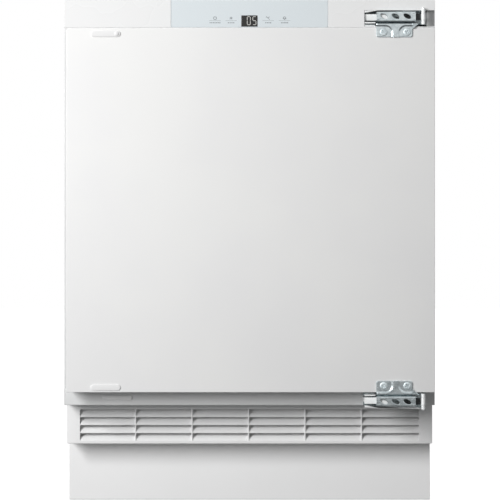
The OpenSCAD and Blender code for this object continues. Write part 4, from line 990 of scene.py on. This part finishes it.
def gasket():
    """Magnetic seal: a foot on the liner, a waist, and the magnet's pocket, as one section carried round."""
    foot, lip = seal_low[1], seal_high[1]
    section = [(3.0, foot), (11.0, foot), (11.0, foot + 1.2), (9.6, foot + 2.2), (12.6, foot + 3.2),
               (13.8, foot + 4.2), (13.8, lip - 0.8), (13.2, lip), (1.0, lip), (0.2, lip - 0.8),
               (0.0, foot + 4.4), (1.4, foot + 3.3), (4.6, foot + 2.3), (3.0, foot + 1.2)]
    return rings(drawn_in(face_of(seal_low, seal_high), 15.0, section), close=True, arc=8)


piece("door_seal", [gasket()], "door", "seal_rubber", ["door_gasket"])


def door_inner():
    """Vacuum-formed door liner: a rim, and a hollow wall rising from it with rounded feet and shoulders."""
    back, flat, top = liner_low[1], DOOR_BACK, liner_high[1]
    rim = drawn_in(DOOR, 1.4, [(1.6, back), (1.0, back + 0.4), (1.0, flat - 0.3), (1.3, flat)])
    climb = [(-3, flat), (-0.9, flat + 0.9), (0, flat + 3), (0.6, top - 4.5), (1.4, top - 1.5), (4, top)]
    fall = [(18, top), (20.6, top - 1.5), (21.4, top - 4.5), (22, flat + 3), (22.9, flat + 0.9), (25, flat)]
    return rings(rim + drawn_in(DYKE, 14.0, climb) + drawn_in(DYKE, 36.0, fall), arc=8)


piece("door_inner_liner", [door_inner()], "door", "liner_plastic", ["door_liner"])


def tray(outline, steps):
    """A moulded tray: one outline in XY, drawn in by each step's gap and set at its height."""
    out = np.empty((len(steps), len(outline), 3))
    for k, (gap, height) in enumerate(steps):
        out[k, :, :2] = inset(outline, gap)
        out[k, :, 2] = height
    return grid(out, wrap=True, caps=True)


def shell_steps(low, high, wall, foot):
    """Steps of a tray: round foot, drafted wall, thickened rim, and down inside to its floor."""
    outside = [(foot, low), (foot * 0.29, low + foot * 0.29), (0.9, low + foot), (0.5, high - 7)]
    rim = [(0, high - 6.4), (0, high - 0.6), (0.6, high), (wall, high), (wall + 0.5, high - 0.7)]
    inside = [(wall + 0.9, low + foot + wall), (wall + foot * 0.5, low + wall + foot * 0.3),
              (wall + foot, low + wall)]
    return outside + rim + inside


def balcony(node):
    """Door balcony: straight against the door, with its two free corners rounded."""
    low, high = span(node)
    r = BALCONY_ROUND
    turn = np.radians(np.linspace(0, 90, 10))
    arc = np.stack([high[0] - r + r * np.cos(turn), high[1] - r + r * np.sin(turn)], 1)
    outline = np.concatenate([arc, arc[::-1] * [-1, 1], [[low[0], low[1]], [high[0], low[1]]]])
    return tray(outline, shell_steps(low[2], high[2], 2.2, 3.0))


for name in ("balcony_top", "balcony_middle", "balcony_bottle"):
    piece(name + "_bin", [balcony(name)], "door", "clear_plastic", [name])


# ---- cold space ------------------------------------------------------------------

tub_low, tub_high = span("inner_liner")
CAVITY = (-258.5, 212.0, 258.5, 748.0)
STEP_Y, STEP_Z, LEDGE = 94.0, 262.0, 8.0
GLASS_NODES = ("crisper_cover", "shelf_1", "shelf_2", "shelf_3")
glass_spans = [span(node) for node in GLASS_NODES]
SHELF_Y = glass_spans[0][0][1]


def tub():
    """Food liner with its true 2 mm wall: inside from the back wall over the step to the mouth, the flange,
    and back outside. A row is the cavity grown by gap, with its foot at a height of its own."""
    u0, v0, u1, v1 = CAVITY
    front, end = tub_low[1], tub_high[1]

    def row(gap, foot, y):
        return u0 - gap, foot - gap, u1 + gap, v1 + gap, 14 + gap, y

    back_wall = [row(-5, STEP_Z, end - 2), row(-1.4, STEP_Z, end - 3.4), row(0, STEP_Z, end - 7)]
    step = [row(0, STEP_Z, STEP_Y + 4), row(0, STEP_Z - 1.2, STEP_Y + 1.2), row(0, STEP_Z - 4, STEP_Y),
            row(0, v0 + 5, STEP_Y), row(0, v0 + 1.4, STEP_Y - 1.4), row(0, v0, STEP_Y - 5)]
    mouth = [row(0, v0, front + 3), row(0.9, v0, front + 0.9), row(3, v0, front)]
    flange = drawn_in(face_of(tub_low, tub_high), 2, [(0.5, front), (0, front + 0.5), (0, front + 2)])
    outside = [row(3.4, v0, front + 2), row(2, v0, front + 4), row(2, v0, STEP_Y + 2),
               row(2, STEP_Z, STEP_Y + 2), row(2, STEP_Z, end)]
    return rings(back_wall + step + mouth + flange + outside, arc=8)


def ledges():
    """Rails that carry the glass, on both side walls, each with a pointed and rounded front end."""
    parts = []
    back = tub_high[1] - 4
    for low, _ in glass_spans:
        z = low[2]
        points = [(SHELF_Y, z - 9), (back, z - 9), (back, z), (SHELF_Y, z), (SHELF_Y - 6, z - 4.5)]
        outline = filleted(points, [2, 1, 1, 2, 2], 4, closed=True)
        for side in (-1, 1):
            ends = sorted([side * (CAVITY[2] - LEDGE), side * CAVITY[2]])
            parts.append(prism(outline, *ends, bevel=0.8))
    return parts


def gutter():
    """Low upstand along the front of the step, which keeps drain water off the drawer."""
    outline = filleted(rectangle(STEP_Y, STEP_Z - 1, STEP_Y + 2.5, STEP_Z + 8), 0.8, 3, closed=True)
    return prism(outline, CAVITY[0] + 0.1, CAVITY[2] - 0.1)


piece("food_liner", [tub()] + ledges() + [gutter()], "cabinet", "liner_plastic", ["inner_liner"])

GLASS_EDGE = [(0.9, 0.0), (0.25, 0.3), (0.0, 0.9)]
for (low, high), node in zip(glass_spans, GLASS_NODES):
    steps = [(g, low[2] + d) for g, d in GLASS_EDGE] + [(g, high[2] - d) for g, d in GLASS_EDGE[::-1]]
    slab = rings(drawn_in(face_of(low, high, "xy"), 4.0, steps), "xy")
    piece(node + "_glass", [slab], "cabinet", "shelf_glass", [node])

trim_low, trim_high = span("shelf_trims")


def edging_profiles(z0, z1):
    """Front edging with a rounded nose, and the taller edging that stops food at the back wall. Both clasp
    the glass between z0 and z1."""
    y, back = SHELF_Y, trim_high[1]
    front = [(y - 3, z0 - 4), (y - 3, z1 + 2), (y + 12, z1 + 2), (y + 12, z1 + 0.1),
             (y + 0.3, z1 + 0.1), (y + 0.3, z0 - 0.1), (y + 12, z0 - 0.1), (y + 12, z0 - 2),
             (y + 1.4, z0 - 2.2), (y - 0.6, z0 - 4)]
    rear = [(back - 11, z0 - 2), (back, z0 - 2), (back, z1 + 14), (back - 2, z1 + 14), (back - 2, z1 + 2),
            (back - 11, z1 + 2), (back - 11, z1 + 0.1), (back - 5, z1 + 0.1), (back - 5, z0 - 0.1),
            (back - 11, z0 - 0.1)]
    return (filleted(front, [1.2, 2.6, 0.8, 0.4, 0.05, 0.05, 0.4, 0.8, 0.6, 0.8], 4, closed=True),
            filleted(rear, [0.6, 1.2, 0.8, 0.8, 0.8, 0.6, 0.4, 0.05, 0.05, 0.4], 4, closed=True))


edgings = [prism(line, trim_low[0], trim_high[0], bevel=0.4)
           for low, high in glass_spans for line in edging_profiles(low[2], high[2])]
piece("shelf_edgings", edgings, "cabinet", "trim_plastic", ["shelf_trims"])

box_low, box_high = span("crisper_drawer")


def crisper():
    """Salad drawer with drafted walls and a rim, and the sloping lip it is pulled by."""
    front, tip, z = SHELF_Y + 4, box_low[1], box_high[2] - 26
    corners = rectangle(box_low[0], front, box_high[0], box_high[1])
    body = tray(filleted(corners, 12, 6, closed=True), shell_steps(box_low[2], box_high[2], 2.4, 6.0))
    lip = [(front + 0.6, z), (tip, z + 12), (tip, z + 15), (front + 0.6, z + 6)]
    return [body, prism(filleted(lip, [0.3, 1.2, 1.2, 0.3], 4, closed=True), -90, 90, bevel=1.0)]


piece("salad_drawer", crisper(), "drawer", "clear_plastic", ["crisper_drawer"])

lens_low, lens_high = span("lamp_lens")
lens_steps = [(0, lens_high[2])] + edge_round(2.4, lens_low[2], steps=3)
lens = rings(drawn_in(face_of(lens_low, lens_high, "xy"), 4.0, lens_steps), "xy")
piece("lamp_cover", [lens], "cabinet", "lamp_diffuser", ["lamp_lens"])


# ---- camera, light and stage, in metres ---------------------------------------

VIEW_DISTANCE, VIEW_HEIGHT, VIEW_X = 3.0, 0.48, 0.0008
FRAME_WIDTH, SENSOR, SHIFT_DOWN = 0.794, 36.0, 0.078
AMBIENT, SHOWN, FLOOR_SHOWN, FLOOR_REACH = 0.21, 1.0, 0.95, 6.0

eye = bpy.data.cameras.new("camera")
eye.sensor_width = SENSOR
eye.lens = SENSOR * VIEW_DISTANCE / FRAME_WIDTH
eye.shift_y = -SHIFT_DOWN
eye.clip_end = 50
camera = bpy.data.objects.new("camera", eye)
camera.location = (VIEW_X, FACE * MM - VIEW_DISTANCE, VIEW_HEIGHT)
camera.rotation_euler = (math.radians(90), 0, 0)
bpy.context.scene.collection.objects.link(camera)
bpy.context.scene.camera = camera
bpy.context.scene.view_settings.view_transform = "Standard"


def soft_box(name, place, aim, size, power):
    """A rectangular soft box, size wide and high in metres, at place and turned to face aim."""
    lamp = bpy.data.lights.new(name, "AREA")
    lamp.shape = "RECTANGLE"
    lamp.size, lamp.size_y = size
    lamp.energy = power
    holder = bpy.data.objects.new(name, lamp)
    holder.location = place
    way = np.array(place, float) - np.array(aim, float)
    tip = math.acos(way[2] / np.linalg.norm(way))
    holder.rotation_euler = (tip, 0, math.atan2(way[1], way[0]) + math.pi / 2)
    bpy.context.scene.collection.objects.link(holder)
    holder.visible_camera = False


soft_box("key", (-2.04, -2.59, 1.46), (0, -0.25, 0.42), (0.6, 1.8), 104)


def seen_by(tree, *rays):
    """1 for any of those kinds of ray, under the names that Light Path gives them."""
    path = add(tree, "ShaderNodeLightPath").outputs
    seen = path[rays[0]]
    for ray in rays[1:]:
        seen = add(tree, "ShaderNodeMath", {0: seen, 1: path[ray]}, operation="MAXIMUM").outputs[0]
    return seen


def studio_world():
    """Even light of strength AMBIENT, and white at SHOWN where it is seen, mirrored or looked through."""
    world = bpy.data.worlds.new("studio")
    world.use_nodes = True
    sky = world.node_tree
    sky.nodes.clear()
    seen = seen_by(sky, "Is Camera Ray", "Is Glossy Ray", "Is Transmission Ray")
    level = add(sky, "ShaderNodeMapRange", {"Value": seen, "To Min": AMBIENT, "To Max": SHOWN})
    strength = level.outputs["Result"]
    back = add(sky, "ShaderNodeBackground", {"Color": (1, 1, 1, 1), "Strength": strength})
    sky.links.new(back.outputs["Background"], add(sky, "ShaderNodeOutputWorld").inputs["Surface"])
    return world


bpy.context.scene.world = studio_world()


def studio_floor():
    """Matt paper: it takes the shadow, and is lifted to white where the camera sees it."""
    made, tree, shader = material("paper_floor", "#808080", Roughness=0.9)
    relief(tree, shader, grains(tree, 3), 0.02, 0.2)
    seen = seen_by(tree, "Is Camera Ray")
    lift = add(tree, "ShaderNodeMapRange", {"Value": seen, "To Min": 0.0, "To Max": FLOOR_SHOWN})
    glow = add(tree, "ShaderNodeEmission", {"Color": (1, 1, 1, 1), "Strength": lift.outputs["Result"]})
    whole = add(tree, "ShaderNodeAddShader", {0: shader.outputs["BSDF"], 1: glow.outputs["Emission"]})
    tree.links.new(whole.outputs["Shader"], tree.nodes["Material Output"].inputs["Surface"])
    return made


floor_mesh = bpy.data.meshes.new("floor")
floor_corners = np.array([(-1, -1, 0), (1, -1, 0), (1, 1, 0), (-1, 1, 0)]) * FLOOR_REACH
floor_mesh.from_pydata(floor_corners, [], [(0, 1, 2, 3)])
floor_mesh.materials.append(studio_floor())
floor = bpy.data.objects.new("floor", floor_mesh)
bpy.context.scene.collection.objects.link(floor)
